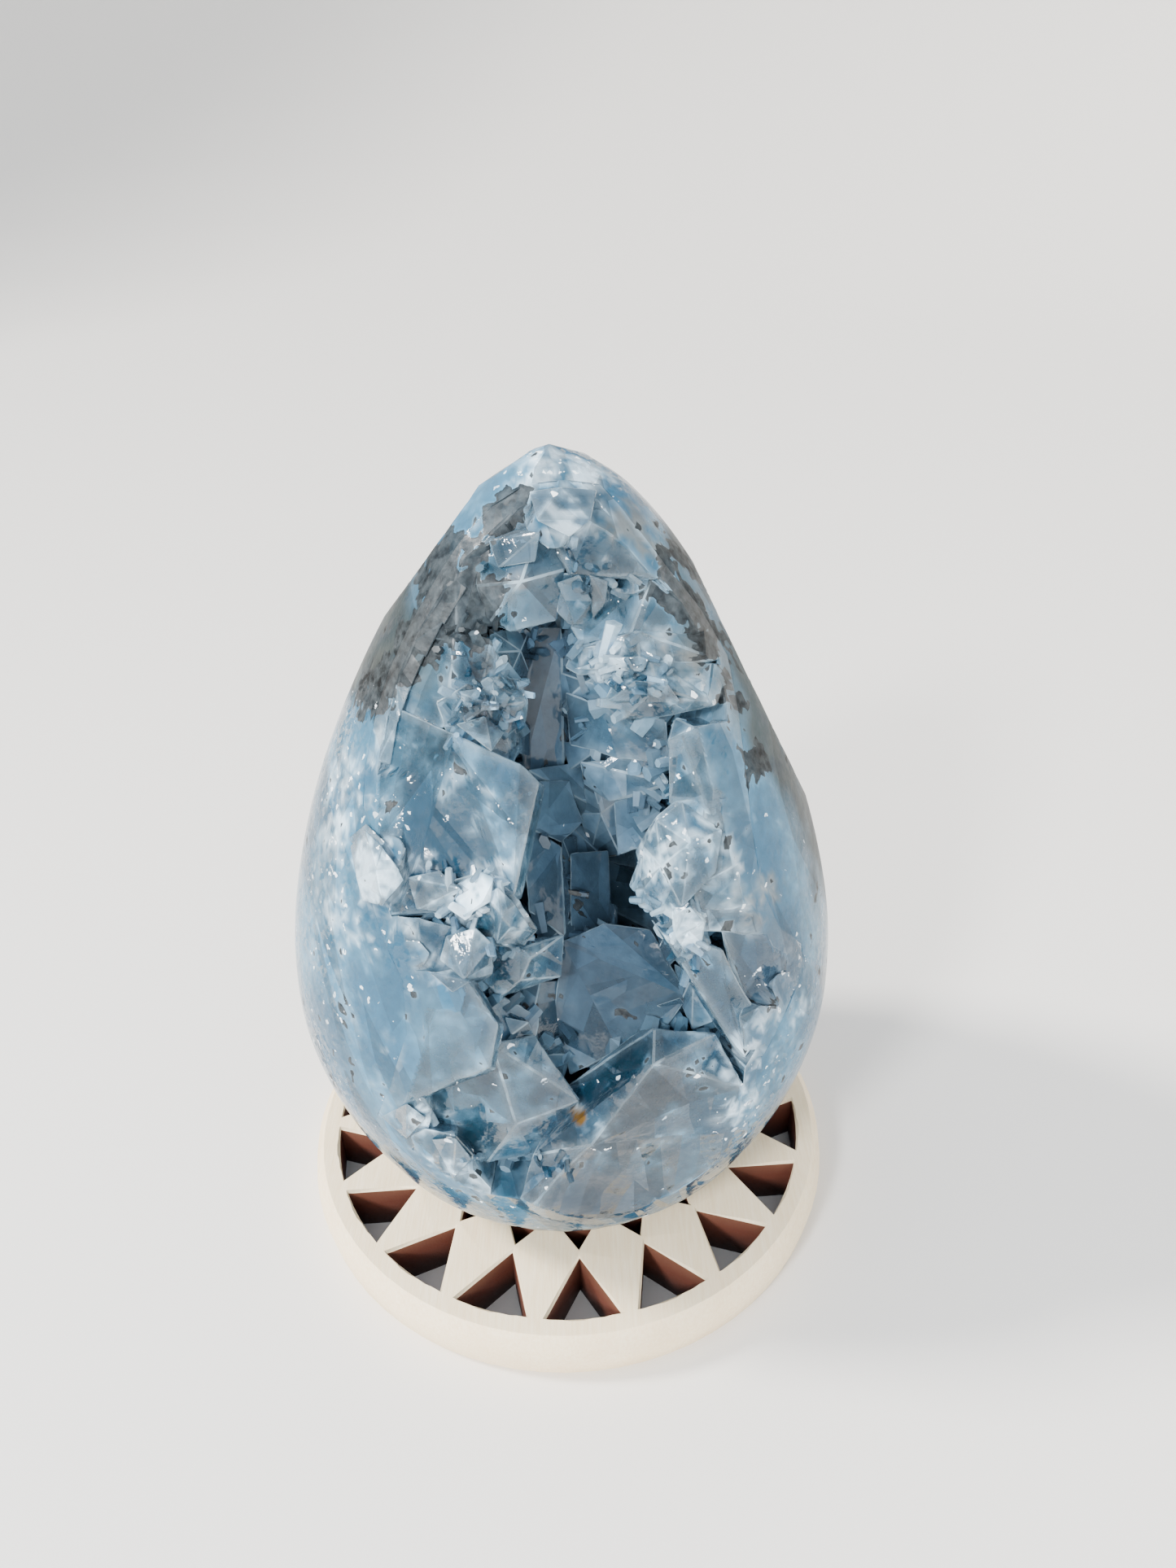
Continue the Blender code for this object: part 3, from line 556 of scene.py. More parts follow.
# %% Raised crystals: (across, down, lift in mm) for each corner
RAISED = {
    "white_block": [(430, 1040, 0.4), (447, 1018, 0.6), (470, 1040, 1.6), (490, 1068, 2.4),
                    (497, 1082, 1.8), (470, 1114, 1.6), (446, 1108, 1.0), (438, 1080, 1.4),
                    (462, 1068, 2.8)],
    "white_shoulder": [(428, 1030, 0.3), (450, 1012, 0.6), (474, 1036, 1.4), (450, 1058, 1.2)],
    "pale_step": [(500, 1078, 0.8), (540, 1070, 1.4), (566, 1092, 1.8), (550, 1122, 1.6),
                  (512, 1118, 1.0)],
    "pale_lump": [(552, 1092, 1.4), (590, 1070, 2.2), (607, 1078, 2.6), (603, 1108, 2.8),
                  (570, 1128, 2.2)],
    "pale_point": [(597, 1098, 1.6), (612, 1090, 2.2), (634, 1112, 2.0), (655, 1145, 1.0),
                   (640, 1161, 0.8), (610, 1160, 1.8), (616, 1126, 3.2), (628, 1140, 2.8)],
    "grey_lump": [(548, 1150, 1.2), (585, 1140, 2.2), (606, 1160, 2.0), (600, 1186, 1.8),
                  (570, 1204, 1.6), (540, 1180, 1.0)],
    "low_lump": [(528, 1196, 1.0), (560, 1190, 1.6), (578, 1206, 1.4), (556, 1220, 1.0)],
    "clear_dome": [(604, 840, 1.0), (622, 829, 1.6), (642, 838, 1.4), (648, 862, 1.6),
                   (634, 884, 1.8), (610, 868, 1.8)],
    "clear_wedge": [(560, 850, 1.0), (590, 846, 1.6), (604, 866, 2.0), (582, 880, 1.6)],
    "clear_low": [(560, 890, 0.8), (596, 880, 1.6), (620, 900, 1.8), (604, 924, 1.2)],
    "big_burr": [(838, 985, 0.6), (806, 1008, 1.4), (790, 1040, 1.6), (787, 1082, 1.8),
                 (800, 1116, 1.4), (838, 1116, 0.8), (880, 1072, 0.4), (888, 1020, 0.4),
                 (848, 1036, 2.6), (812, 1064, 2.8)],
    "burr_c": [(792, 1108, 0.8), (820, 1096, 1.8), (848, 1110, 2.0), (832, 1134, 1.2)],
    "bud": [(826, 1124, 0.8), (848, 1114, 1.4), (866, 1134, 1.8), (862, 1164, 1.6),
            (844, 1176, 1.0), (830, 1152, 1.4)],
    "top_step": [(650, 604, 0.6), (690, 598, 1.4), (734, 602, 1.2), (726, 640, 1.4),
                 (700, 660, 1.0), (660, 640, 1.2)],
    "shell_a": [(600, 664, 0.5), (634, 650, 0.8), (664, 654, 0.9), (658, 690, 1.0),
                (612, 698, 0.6)],
    "shell_b": [(684, 716, 0.8), (712, 706, 1.4), (728, 740, 1.6), (706, 768, 0.8)],
    "shell_c": [(724, 706, 0.8), (748, 714, 1.2), (744, 742, 1.4), (728, 762, 0.8)],
    "rim_a": [(530, 1400, 0.4), (560, 1398, 1.2), (580, 1424, 1.2), (556, 1450, 0.8)],
    "rim_b": [(468, 1372, 0.4), (500, 1356, 1.0), (524, 1374, 1.0), (500, 1400, 0.6)],
    "plate_a": [(745, 862, 0.6), (780, 836, 1.4), (820, 840, 1.2), (836, 862, 0.8),
                (800, 882, 0.6)],
    "plate_b": [(705, 822, 0.4), (750, 808, 1.2), (800, 806, 1.0), (790, 826, 0.8)],
    "floor_lump": [(806, 1236, 0.8), (836, 1226, 1.8), (852, 1250, 1.4), (822, 1264, 1.2)],
    "wedge_lump": [(620, 1250, 0.8), (650, 1256, 1.6), (656, 1272, 1.0), (628, 1272, 1.2)],
    # plates that bridge the step between the rim and the upper left crystals
    "rim_plate_a": [(553, 706, 0.0), (526, 750, 0.0), (574, 722, 0.4), (546, 768, 0.4)],
    "rim_plate_b": [(528, 747, 0.0), (505, 792, 0.0), (545, 764, 0.4), (523, 808, 0.4)],
    "rim_plate_c": [(506, 789, 0.0), (486, 836, 0.0), (523, 804, 0.4), (503, 850, 0.4)],
    "rim_plate_d": [(487, 833, 0.0), (471, 878, 0.0), (504, 846, 0.4), (489, 888, 0.4)],
    "rim_plate_e": [(471, 876, 0.0), (464, 936, 0.0), (489, 884, 0.3), (480, 940, 0.2)],
}
# in the hollow, where the gaps are deep, the third number is how far from the camera it is
HOLLOW = {
    "top": [(600, 772, 128.0), (650, 776, 133.0), (654, 836, 135.5), (624, 836, 128.5),
            (603, 802, 127.0), (640, 800, 130.0)],
    "slit": [(692, 758, 133.0), (706, 758, 129.5), (708, 816, 129.5), (692, 820, 134.5)],
    "neck": [(686, 826, 135.0), (750, 822, 129.5), (768, 852, 129.0), (704, 864, 134.5),
             (684, 870, 136.5), (720, 838, 130.5)],
    "side": [(632, 884, 127.0), (652, 890, 135.5), (652, 930, 136.5), (634, 926, 127.0)],
    "shelf": [(690, 912, 137.0), (752, 908, 132.5), (748, 934, 135.0), (700, 946, 137.5)],
    "pit_left": [(648, 946, 133.0), (690, 948, 139.0), (720, 935, 139.5), (728, 990, 140.5),
                 (700, 1016, 141.5), (690, 980, 138.0)],
    "pit_right": [(722, 940, 137.0), (762, 982, 138.0), (762, 1052, 144.0), (724, 1056, 146.0),
                  (712, 1000, 141.5), (738, 1000, 139.0)],
    "pit_floor": [(696, 1010, 142.0), (740, 1020, 145.0), (744, 1056, 144.5), (696, 1060, 142.5)],
    "crack_a": [(690, 1028, 138.0), (709, 1028, 141.5), (711, 1082, 141.0), (691, 1084, 138.5)],
    "crack_b": [(660, 1130, 137.0), (706, 1128, 140.5), (706, 1174, 139.8), (660, 1168, 135.5)],
    "low_left": [(626, 1222, 139.0), (664, 1206, 138.5), (702, 1204, 141.0), (704, 1296, 142.5),
                 (690, 1334, 143.0), (666, 1296, 139.5), (654, 1252, 138.0)],
    "low_right": [(828, 1184, 140.5), (852, 1196, 137.0), (876, 1256, 140.0), (850, 1266, 141.5),
                  (836, 1232, 141.0)],
    "slot": [(806, 1130, 141.0), (828, 1126, 131.0), (836, 1174, 134.0), (822, 1188, 139.5),
             (808, 1168, 141.5)],
    "notch": [(838, 1132, 131.0), (868, 1136, 132.0), (874, 1160, 131.5), (846, 1168, 131.5)],
}


def raised(corners, from_camera=False):
    """The bevelled convex solid around the corners and a smaller foot under them."""
    points = []
    for across, down, far in corners:
        start, way = (VIEW_PLACE, 1) if from_camera else (seen_at(across, down), -1)
        points.append(start + sight_line(across, down) * way * far * MM)
    middle = sum(points, Vector()) / len(points)
    away = (middle - VIEW_PLACE).normalized()
    points += [middle + (p - middle) * 0.8 + away * 3.5 * MM for p in points]
    made = bmesh.new()
    corners = [made.verts.new(p) for p in points]
    result = bmesh.ops.convex_hull(made, input=corners)
    spare = {v for v in result["geom_interior"] + result["geom_unused"]
             if isinstance(v, bmesh.types.BMVert)}
    bmesh.ops.delete(made, geom=list(spare), context="VERTS")
    bmesh.ops.dissolve_limit(made, angle_limit=math.radians(8), verts=made.verts, edges=made.edges)
    bmesh.ops.bevel(made, geom=made.edges[:], offset=0.12 * MM, segments=1, profile=0.5,
                    affect="EDGES", clamp_overlap=True)
    return made


all_raised = bmesh.new()
for corners in (*RAISED.values(), *HOLLOW.values()):
    one = raised(corners, corners[0][2] > 100)
    mesh = bpy.data.meshes.new("one")
    one.to_mesh(mesh)
    one.free()
    all_raised.from_mesh(mesh)
    bpy.data.meshes.remove(mesh)
facet = all_raised.faces.layers.int.new("facet")
# the faces of a convex solid come in any order, so they are numbered by their place
by_place = sorted(all_raised.faces, key=lambda face: face.calc_center_median()[:])
for number, face in enumerate(by_place):
    face[facet] = number
bmesh.ops.triangulate(all_raised, faces=all_raised.faces)
bmesh.ops.recalc_face_normals(all_raised, faces=all_raised.faces)
refine(all_raised, 0.9 * MM)
raised_crystals = new_piece("raised_crystals", all_raised)
print(len(RAISED), "raised crystals and", len(HOLLOW), "in the hollow,", len(raised_crystals.data.polygons), "faces")

# %% [markdown]
# ## Each facet's own tone and grain
# Celestite splits along straight planes, so each facet shows long straight streaks in a
# direction of its own, and its tone differs a little from its neighbours'. Both are kept as
# attributes of the facet. The narrow strips along the edges are marked too: their paint is
# lighter, partly as worn crystal edges are milky and partly as a painted highlight.

# %% Tone, grain and edges
dice = np.random.default_rng(11)
for made in (polished_shell, crystals, raised_crystals):
    mesh = made.data
    numbers = np.zeros(len(mesh.polygons), np.int32)
    if mesh.attributes.get("facet"):
        mesh.attributes["facet"].data.foreach_get("value", numbers)
    normals = np.array([p.normal for p in mesh.polygons])
    areas = np.array([p.area for p in mesh.polygons])
    count = numbers.max() + 1
    tone = dice.uniform(0.70, 1.22, count)
    grain = dice.normal(size=(count, 3)) * (1.0, 1.0, 0.35)
    facing = np.stack([np.bincount(numbers, normals[:, i] * areas, count) for i in range(3)], 1)
    facing /= np.maximum(np.linalg.norm(facing, axis=1, keepdims=True), 1e-9)
    grain -= facing * (grain * facing).sum(1, keepdims=True)
    grain /= np.maximum(np.linalg.norm(grain, axis=1, keepdims=True), 1e-9)
    size = np.bincount(numbers, areas, count)
    centres = np.array([p.center for p in mesh.polygons])
    flat = np.abs(outside(centres)) < 0.06 * MM
    tone, grain = tone[numbers], grain[numbers]
    # a strip is much longer than wide; near the polish and in the limestone it is duller
    middle = np.stack([np.bincount(numbers, centres[:, i], count) for i in range(3)], 1)
    middle /= np.maximum(np.bincount(numbers, minlength=count), 1)[:, None]
    reach = np.zeros(count)
    np.maximum.at(reach, numbers, np.linalg.norm(centres - middle[numbers], axis=1))
    strip = (size < 0.3 * MM * MM) | (size / (2 * reach + 0.2 * MM) < 0.42 * MM)
    edge = strip[numbers] & ~flat
    under = -outside(centres) / MM
    # painted shade: the edges' painted highlight also fades deep in the hollow
    edge = edge * (0.2 + 0.8 * smooth(under, 0.4, 1.8)) * (1 - 0.65 * smooth(under, 10, 20))
    edge = edge * (1 - 0.9 * smooth(shares(centres, "rock"), 0.1, 0.5))
    tone[flat] = 1.0
    grain[flat] = (0.94, 0.0, 0.34)
    mesh.attributes.new("tone", "FLOAT", "FACE").data.foreach_set("value", tone)
    mesh.attributes.new("edge", "FLOAT", "FACE").data.foreach_set("value", edge)
    mesh.attributes.new("grain", "FLOAT_VECTOR", "FACE").data.foreach_set("vector", grain.ravel())
    print(made.name, "facets:", count, "edge faces:", int((edge > 0).sum()))

# %% [markdown]
# ## Painting the stone
# The broad colours are worked out here once for each point and kept as attributes, which
# makes the shader light: it only adds what is finer than the mesh. Celestite is a milky sky
# blue with soft clouds, whiter where it is cracked. Towards the back the polished egg cuts
# into the limestone that the geode grew in, grey and beige in bands.

# %% Colours of the stone
def blend(share, under, code):
    over = np.array(linear(code)[:3])
    return under * (1 - share[:, None]) + over * share[:, None]


BLUE_DEEP, BLUE_PALE, MILK, FROST = "376785", "5085A2", "76A3BF", "CDE1EE"
trees.append(BVHTree.FromObject(raised_crystals, bpy.context.evaluated_depsgraph_get()))
AROUND = [Vector(d).normalized() for d in np.random.default_rng(2).normal(size=(10, 3))]


def shelter(mesh, reach=7 * MM):
    """The share of the directions around each point that other crystals block close by."""
    blocked = np.zeros(len(mesh.vertices))
    for i, vertex in enumerate(mesh.vertices):
        if not shows(vertex.co):
            continue
        normal = vertex.normal
        start = vertex.co + normal * 0.06 * MM
        for direction in AROUND:
            way = direction if direction.dot(normal) > 0 else -direction
            if trees[1].ray_cast(start, way, reach)[0] is not None:
                blocked[i] += 0.1
    return blocked


def from_edge(mesh, co):
    """How far each point lies from the nearest edge strip, in mm."""
    tree = KDTree(len(mesh.polygons))
    sharp_edges = np.zeros(len(mesh.polygons))
    mesh.attributes["edge"].data.foreach_get("value", sharp_edges)
    for i in np.flatnonzero(sharp_edges):
        tree.insert(mesh.polygons[i].center, i)
    tree.balance()
    return np.array([tree.find(p)[2] for p in co]) / MM if sharp_edges.any() else np.full(len(co), 9.0)


def paint(mesh):
    """Gives the mesh its colour, clearness, flecks and roughness, point by point."""
    co = np.array([v.co for v in mesh.vertices])
    big, mid, fine = (noise_at(co, size * MM, seed) for size, seed in ((13, 3), (4, 4), (1.3, 5)))
    torn = (mid - 0.5) * 0.9 + (fine - 0.5) * 0.9
    colour = np.tile(np.array(linear(BLUE_DEEP)[:3]), (len(co), 1))
    colour = blend(smooth(big * 0.7 + mid * 0.3, 0.30, 0.66), colour, BLUE_PALE)
    milk = smooth(big * 0.4 + mid * 0.6 + (fine - 0.5) * 0.3, 0.48, 0.75)
    colour = blend(milk * 0.6, colour, MILK)
    frost = smooth(shares(co, "frost") + torn, 0.35, 0.95)
    colour = blend(frost * 0.8, colour, FROST)
    right = np.maximum(co[:, 0] / MM, 0) * (0.45 + 0.5 * smooth(co[:, 2] / MM, 66, 88))
    left = np.maximum(-co[:, 0] / MM, 0) * 1.6 * smooth(co[:, 2] / MM, 84, 95)
    left *= 1 - smooth(co[:, 2] / MM, 108, 115)
    side = smooth(co[:, 1] / MM + right + left + (big - 0.5) * 26, 2.0, 18.0)
    side = side * (outside(co) > -3.0 * MM)
    bands = 0.5 + 0.5 * np.sin((co[:, 1] + 0.4 * co[:, 2]) / (1.4 * MM) + big * 16)
    limestone = np.tile(np.array(linear("27281F")[:3]), (len(co), 1))
    limestone = blend(bands * 0.6, limestone, "454236")
    limestone = blend(smooth(mid, 0.52, 0.8), limestone, "221B13")
    colour = colour * (1 - side[:, None] * 0.92) + limestone * side[:, None] * 0.92
    beige = smooth(shares(co, "beige") + torn, 0.25, 0.9) * 0.75
    colour = blend(beige, colour, "706B60")
    rock = smooth(shares(co, "rock") + torn, 0.25, 0.65)
    ochre = smooth(shares(co, "ochre") + torn * 0.6, 0.25, 0.7)
    colour = blend(ochre, colour, "5A421A")
    # painted highlight, partly wear: points close to an edge strip are painted a lighter blue, as worn milky edges
    # are and as the light catches them
    rim_light = 1 - smooth(from_edge(mesh, co), 0.1, 1.2)
    colour = blend(rim_light * 0.4 * (1 - side), colour, "B4CFE0")
    deep = smooth(shares(co, "deep") + torn * 0.3, 0.2, 0.8)
    dull = np.maximum.reduce([frost * 0.8, rock, beige, side * 0.9, ochre])
    clear = (0.70 + 0.25 * shares(co, "clear")) * (1 - dull) * (1 - milk * 0.3)
    hidden = shelter(mesh) if mesh != polished_shell.data else np.zeros(len(co))
    depth = smooth(-outside(co), 6 * MM, 18 * MM)
    # painted light: where other crystals close by shelter a point, its colour is painted a lighter grey blue, which
    # stands in for light that reaches into the gaps
    gap = smooth(hidden, 0.4, 0.9) * (1 - depth)
    colour = blend(gap * 0.5, colour, "7C9AAE")
    # painted shade and light: the deeper a point lies in the hollow, the more its colour turns to a grey slate,
    # which stands in for the dim light there
    colour = blend(depth * 0.8, colour, "5A7286")
    # painted shade: the deep patches are painted dark slate
    colour = blend(deep * 0.85, colour, "34485A")
    clear *= 1 - 0.5 * np.maximum(depth, gap)
    clear *= 1 - 0.4 * deep
    ground = np.ones(len(co)) * (mesh == polished_shell.data)
    if mesh.attributes.get("ground"):
        mesh.attributes["ground"].data.foreach_get("value", ground)
    # painted shade: towards the foot, where the stone stands in shade above the disc, its colour
    # is painted darker, except where it is frosted
    foot = smooth(40.0 - co[:, 2] / MM, 0, 26) * (1 - frost)
    colour *= 1 - 0.45 * foot[:, None]
    clear *= 1 - 0.6 * ground
    colour = blend(0.4 * ground * (1 - dull), colour, "2F556C")
    # painted glint: outside the hollow and the limestone every point gets a small share of white flecks
    values = {
        "clear": clear, "rock": rock,
        "fleck": np.maximum(shares(co, "fleck"), 0.08 * (1 - deep) * (1 - side)),
        "druse": shares(co, "druse") * smooth(-outside(co) / MM, 0.9, 2.2),
        "hollow": smooth(hidden, 0.5, 0.9) * smooth(-outside(co) / MM, 4.0, 8.0)
        * (1.0 if mesh == crystals.data else 0.15),
        "rough": np.maximum(frost * 0.2, np.maximum(rock * 0.4, side * 0.3)),
    }
    for name, value in values.items():
        mesh.attributes.new(name, "FLOAT", "POINT").data.foreach_set("value", value)
    layer = mesh.attributes.new("stone_colour", "FLOAT_COLOR", "POINT")
    layer.data.foreach_set("color", np.c_[colour, np.ones(len(co))].ravel())


for made in (polished_shell, crystals, raised_crystals):
    paint(made.data)
    print(made.name, "painted at", len(made.data.vertices), "points")

# %% [markdown]
# ## Celestite
# Celestite is clear to milky, and as glossy as glass on its faces, with an index of
# refraction of 1.62. Light goes in, is tinted blue on its way and comes out of another
# facet, so the shader lets part of it through and a volume absorbs the red. Tiny cracks are
# white specks, and a thin scatter of white specks everywhere is painted glint. A faint
# unevenness breaks up the reflections.

# %% Settings that the recipes share
PLUS, MINUS, TIMES, TIMES_PLUS, LESS, MORE, DOT, SCALE, UNIT = (
    {"operation": name} for name in (
        "ADD", "SUBTRACT", "MULTIPLY", "MULTIPLY_ADD", "LESS_THAN", "GREATER_THAN",
        "DOT_PRODUCT", "SCALE", "NORMALIZE",
    )
)
COLOURS = {"data_type": "RGBA"}
MATHS, VECTORS, MIX = "ShaderNodeMath", "ShaderNodeVectorMath", "ShaderNodeMix"
VORONOI, NOISE, RANGE = "ShaderNodeTexVoronoi", "ShaderNodeTexNoise", "ShaderNodeMapRange"


def new_material(name):
    made = bpy.data.materials.new(name)
    made.use_nodes = True
    tree = made.node_tree
    return made, tree, tree.nodes["Principled BSDF"]


# %% Celestite's shader
def celestite(name, gloss, plane_tilt, mirror):
    made, tree, shader = new_material(name)
    where = add_node(tree, "ShaderNodeTexCoord")["Object"]
    read = {
        kind: add_node(tree, "ShaderNodeAttribute", {"attribute_name": kind})
        for kind in ("stone_colour", "tone", "clear", "fleck", "rough", "rock", "grain", "edge")
    }
    # long cells: the place squeezed to a seventh, except along the facet's grain
    grain, fleck_share = read["grain"]["Vector"], read["fleck"]["Fac"]
    along = add_node(tree, VECTORS, DOT, _0=where, _1=grain)["Value"]
    along = add_node(tree, MATHS, TIMES, _0=along, _1=0.85)[0]
    squeezed = add_node(tree, VECTORS, SCALE, _0=where, Scale=0.15)[0]
    extra = add_node(tree, VECTORS, SCALE, _0=grain, Scale=along)[0]
    stretched = add_node(tree, VECTORS, PLUS, _0=squeezed, _1=extra)[0]
    planes = add_node(tree, VORONOI, None, Vector=stretched, Scale=330.0, Randomness=1.0)["Color"]
    flakes = add_node(tree, VORONOI, None, Vector=where, Scale=1500.0, Randomness=1.0)["Color"]
    grit = add_node(tree, NOISE, None, Vector=where, Scale=700.0, Detail=3.0, Roughness=0.6)["Fac"]
    plane = add_node(tree, "ShaderNodeSeparateColor", None, _0=planes)
    flake = add_node(tree, "ShaderNodeSeparateColor", None, _0=flakes)
    # white flakes where cracks reach the surface, and white flakes as painted glints
    chance = add_node(tree, MATHS, TIMES_PLUS, _0=grit, _1=1.1, _2=-0.56)[0]
    chance = add_node(tree, MATHS, TIMES, _0=fleck_share, _1=chance)[0]
    fleck = add_node(tree, MATHS, LESS, _0=flake[0], _1=chance)[0]
    # inner planes, the facet's own tone and the grit shade the painted colour
    shade = add_node(tree, MATHS, TIMES_PLUS, _0=plane[0], _1=0.7, _2=0.65)[0]
    shade = add_node(tree, MATHS, TIMES, _0=shade, _1=read["tone"]["Fac"])[0]
    gritty = add_node(tree, MATHS, TIMES_PLUS, _0=grit, _1=0.6, _2=0.70)[0]
    shade = add_node(tree, MATHS, TIMES, _0=shade, _1=gritty)[0]
    colour = add_node(tree, VECTORS, SCALE, _0=read["stone_colour"]["Color"], Scale=shade)[0]
    # limestone is matt and dark, with grains of several greys
    rocky = add_node(tree, MATHS, TIMES_PLUS, _0=grit, _1=0.6, _2=read["rock"]["Fac"])[0]
    rocky = add_node(tree, MATHS, MORE, _0=rocky, _1=0.72)[0]
    rocky = add_node(tree, MATHS, TIMES, _0=rocky, _1=0.94)[0]
    grains = add_node(tree, MATHS, TIMES_PLUS, _0=flake[1], _1=0.35, _2=-0.95)[0]
    grains = add_node(tree, MATHS, TIMES_PLUS, _0=grit, _1=2.4, _2=grains)[0]
    rock = add_node(tree, MIX, COLOURS, _0=grains, _6=linear("0A0C0E"), _7=linear("3C4245"))[2]
    colour = add_node(tree, MIX, COLOURS, _0=rocky, _6=colour, _7=rock)[2]
    # edge strips are painted light, as worn edges are and as a painted highlight; flakes are
    # almost white, as white cracks are and as painted glints
    edge_wear_and_highlight = add_node(tree, MATHS, TIMES, _0=read["edge"]["Fac"], _1=0.6)[0]
    colour = add_node(tree, MIX, COLOURS, _0=edge_wear_and_highlight, _6=colour, _7=linear("B4CFDF"))[2]
    crack_white_and_glint = add_node(tree, MATHS, TIMES_PLUS, _0=flake[2], _1=0.6, _2=0.4)[0]
    crack_white_and_glint = add_node(tree, MATHS, TIMES, _0=fleck, _1=crack_white_and_glint)[0]
    colour = add_node(tree, MIX, COLOURS, _0=crack_white_and_glint, _6=colour, _7=linear("EEF6FB"))[2]
    tree.links.new(colour, shader.inputs["Base Color"])
    solid = add_node(tree, MATHS, MINUS, _0=1.0, _1=fleck)[0]
    through = add_node(tree, MATHS, TIMES, _0=read["clear"]["Fac"], _1=solid)[0]
    tree.links.new(through, shader.inputs["Transmission Weight"])
    roughness = add_node(tree, MATHS, PLUS, _0=read["rough"]["Fac"], _1=gloss)[0]
    tree.links.new(roughness, shader.inputs["Roughness"])
    shader.inputs["IOR"].default_value = 1.62
    shader.inputs["Specular IOR Level"].default_value = mirror
    # every plane and flake is tilted a little, so that some of them catch the light
    half = (0.5, 0.5, 0.5)
    tilt = add_node(tree, VECTORS, MINUS, _0=planes, _1=half)[0]
    tilt = add_node(tree, VECTORS, SCALE, _0=tilt, Scale=plane_tilt)[0]
    strength = add_node(tree, MATHS, TIMES_PLUS, _0=fleck_share, _1=0.35, _2=0.05)[0]
    glitter = add_node(tree, VECTORS, MINUS, _0=flakes, _1=half)[0]
    glitter = add_node(tree, VECTORS, SCALE, _0=glitter, Scale=strength)[0]
    facing = add_node(tree, "ShaderNodeNewGeometry")["Normal"]
    facing = add_node(tree, VECTORS, PLUS, _0=facing, _1=tilt)[0]
    facing = add_node(tree, VECTORS, PLUS, _0=facing, _1=glitter)[0]
    facing = add_node(tree, VECTORS, UNIT, _0=facing)[0]
    bump = add_node(tree, "ShaderNodeBump", None, Strength=0.2, Distance=0.0004, Height=grit,
                    Normal=facing)
    tree.links.new(bump[0], shader.inputs["Normal"])
    tint = add_node(tree, "ShaderNodeVolumeAbsorption", None, Color=linear("A9CBE2"), Density=40.0)
    tree.links.new(tint[0], tree.nodes["Material Output"].inputs["Volume"])
    print(name, len(tree.nodes), "nodes")
    return made


natural_crystal = celestite("natural_celestite_crystal", 0.08, 0.34, 0.18)
for made in (crystals, raised_crystals):
    made.data.materials.append(natural_crystal)
polished_shell.data.materials.append(celestite("polished_celestite_geode", 0.10, 0.0, 0.05))

# %% [markdown]
# ## Pale plywood, cut by laser
# The disc is thin birch or linden plywood, sanded and left bare: cream, with fine grain along
# one direction. The laser burnt the walls of the windows, reddish brown near the top and
# almost black below.

# %% Plywood
wood, tree, shader = new_material("bare_birch_plywood")
coordinates = add_node(tree, "ShaderNodeTexCoord")
where = coordinates["Object"]
along = add_node(tree, "ShaderNodeMapping", None, Vector=where, Scale=(1.0, 0.08, 1.0),
                 Rotation=(0.0, 0.0, math.radians(24)))[0]
grain = add_node(tree, NOISE, None, Vector=along, Scale=2600.0, Detail=3.0, Roughness=0.6)["Fac"]
broad = add_node(tree, NOISE, None, Vector=along, Scale=160.0, Detail=2.0)["Fac"]
fibres = add_node(tree, RANGE, None, Value=grain, From_Min=0.35, From_Max=0.65)["Result"]
pale = add_node(tree, MIX, COLOURS, _0=fibres, _6=linear("F0DAB4"), _7=linear("F8E6C6"))[2]
streaks = add_node(tree, RANGE, None, Value=broad, From_Min=0.4, From_Max=0.7, To_Max=0.25)["Result"]
pale = add_node(tree, MIX, COLOURS, _0=streaks, _6=pale, _7=linear("E2C498"))[2]
place = add_node(tree, "ShaderNodeSeparateXYZ", None, _0=where)
facing = add_node(tree, "ShaderNodeSeparateXYZ", None, _0=coordinates["Normal"])
# the cut walls are the steep faces inside the disc's own edge
level = add_node(tree, "ShaderNodeCombineXYZ", None, X=place[0], Y=place[1])[0]
reach = add_node(tree, VECTORS, {"operation": "LENGTH"}, _0=level)["Value"]
steep = add_node(tree, MATHS, {"operation": "ABSOLUTE"}, _0=facing[2])[0]
steep = add_node(tree, RANGE, None, Value=steep, From_Min=0.45, From_Max=0.30)["Result"]
within = add_node(tree, RANGE, None, Value=reach, From_Min=39.6 * MM, From_Max=39.2 * MM)["Result"]
wall = add_node(tree, MATHS, TIMES, _0=steep, _1=within)[0]
burn_level = add_node(tree, MATHS, TIMES_PLUS, _0=broad, _1=0.003, _2=place[2])[0]
low = add_node(tree, RANGE, None, Value=burn_level, From_Min=2.0 * MM, From_Max=6.0 * MM)["Result"]
burnt = add_node(tree, MIX, COLOURS, _0=low, _6=linear("2C1611"), _7=linear("5E3225"))[2]
top = add_node(tree, RANGE, None, Value=burn_level, From_Min=6.5 * MM, From_Max=9.5 * MM)["Result"]
burnt = add_node(tree, MIX, COLOURS, _0=top, _6=burnt, _7=linear("6E4736"))[2]
colour = add_node(tree, MIX, COLOURS, _0=wall, _6=pale, _7=burnt)[2]
tree.links.new(colour, shader.inputs["Base Color"])
shader.inputs["Roughness"].default_value = 0.62
shader.inputs["IOR"].default_value = 1.5
bump = add_node(tree, "ShaderNodeBump", None, Strength=0.25, Distance=0.0002, Height=grain)
tree.links.new(bump[0], shader.inputs["Normal"])
disc.data.materials.append(wood)
print(wood.name, len(tree.nodes), "nodes")

# %% [markdown]
# ## Small crystals between the large ones
# Where the large crystals meet, hundreds of small ones grew, a millimetre or two long. They
# could be modelled one by one, but they follow a rule: a short six-sided crystal with a
# narrower top, sunk into whatever it grew on, at any tilt and with its own tone. Geometry
# Nodes scatter it where the painted share is high, and keep a least distance.

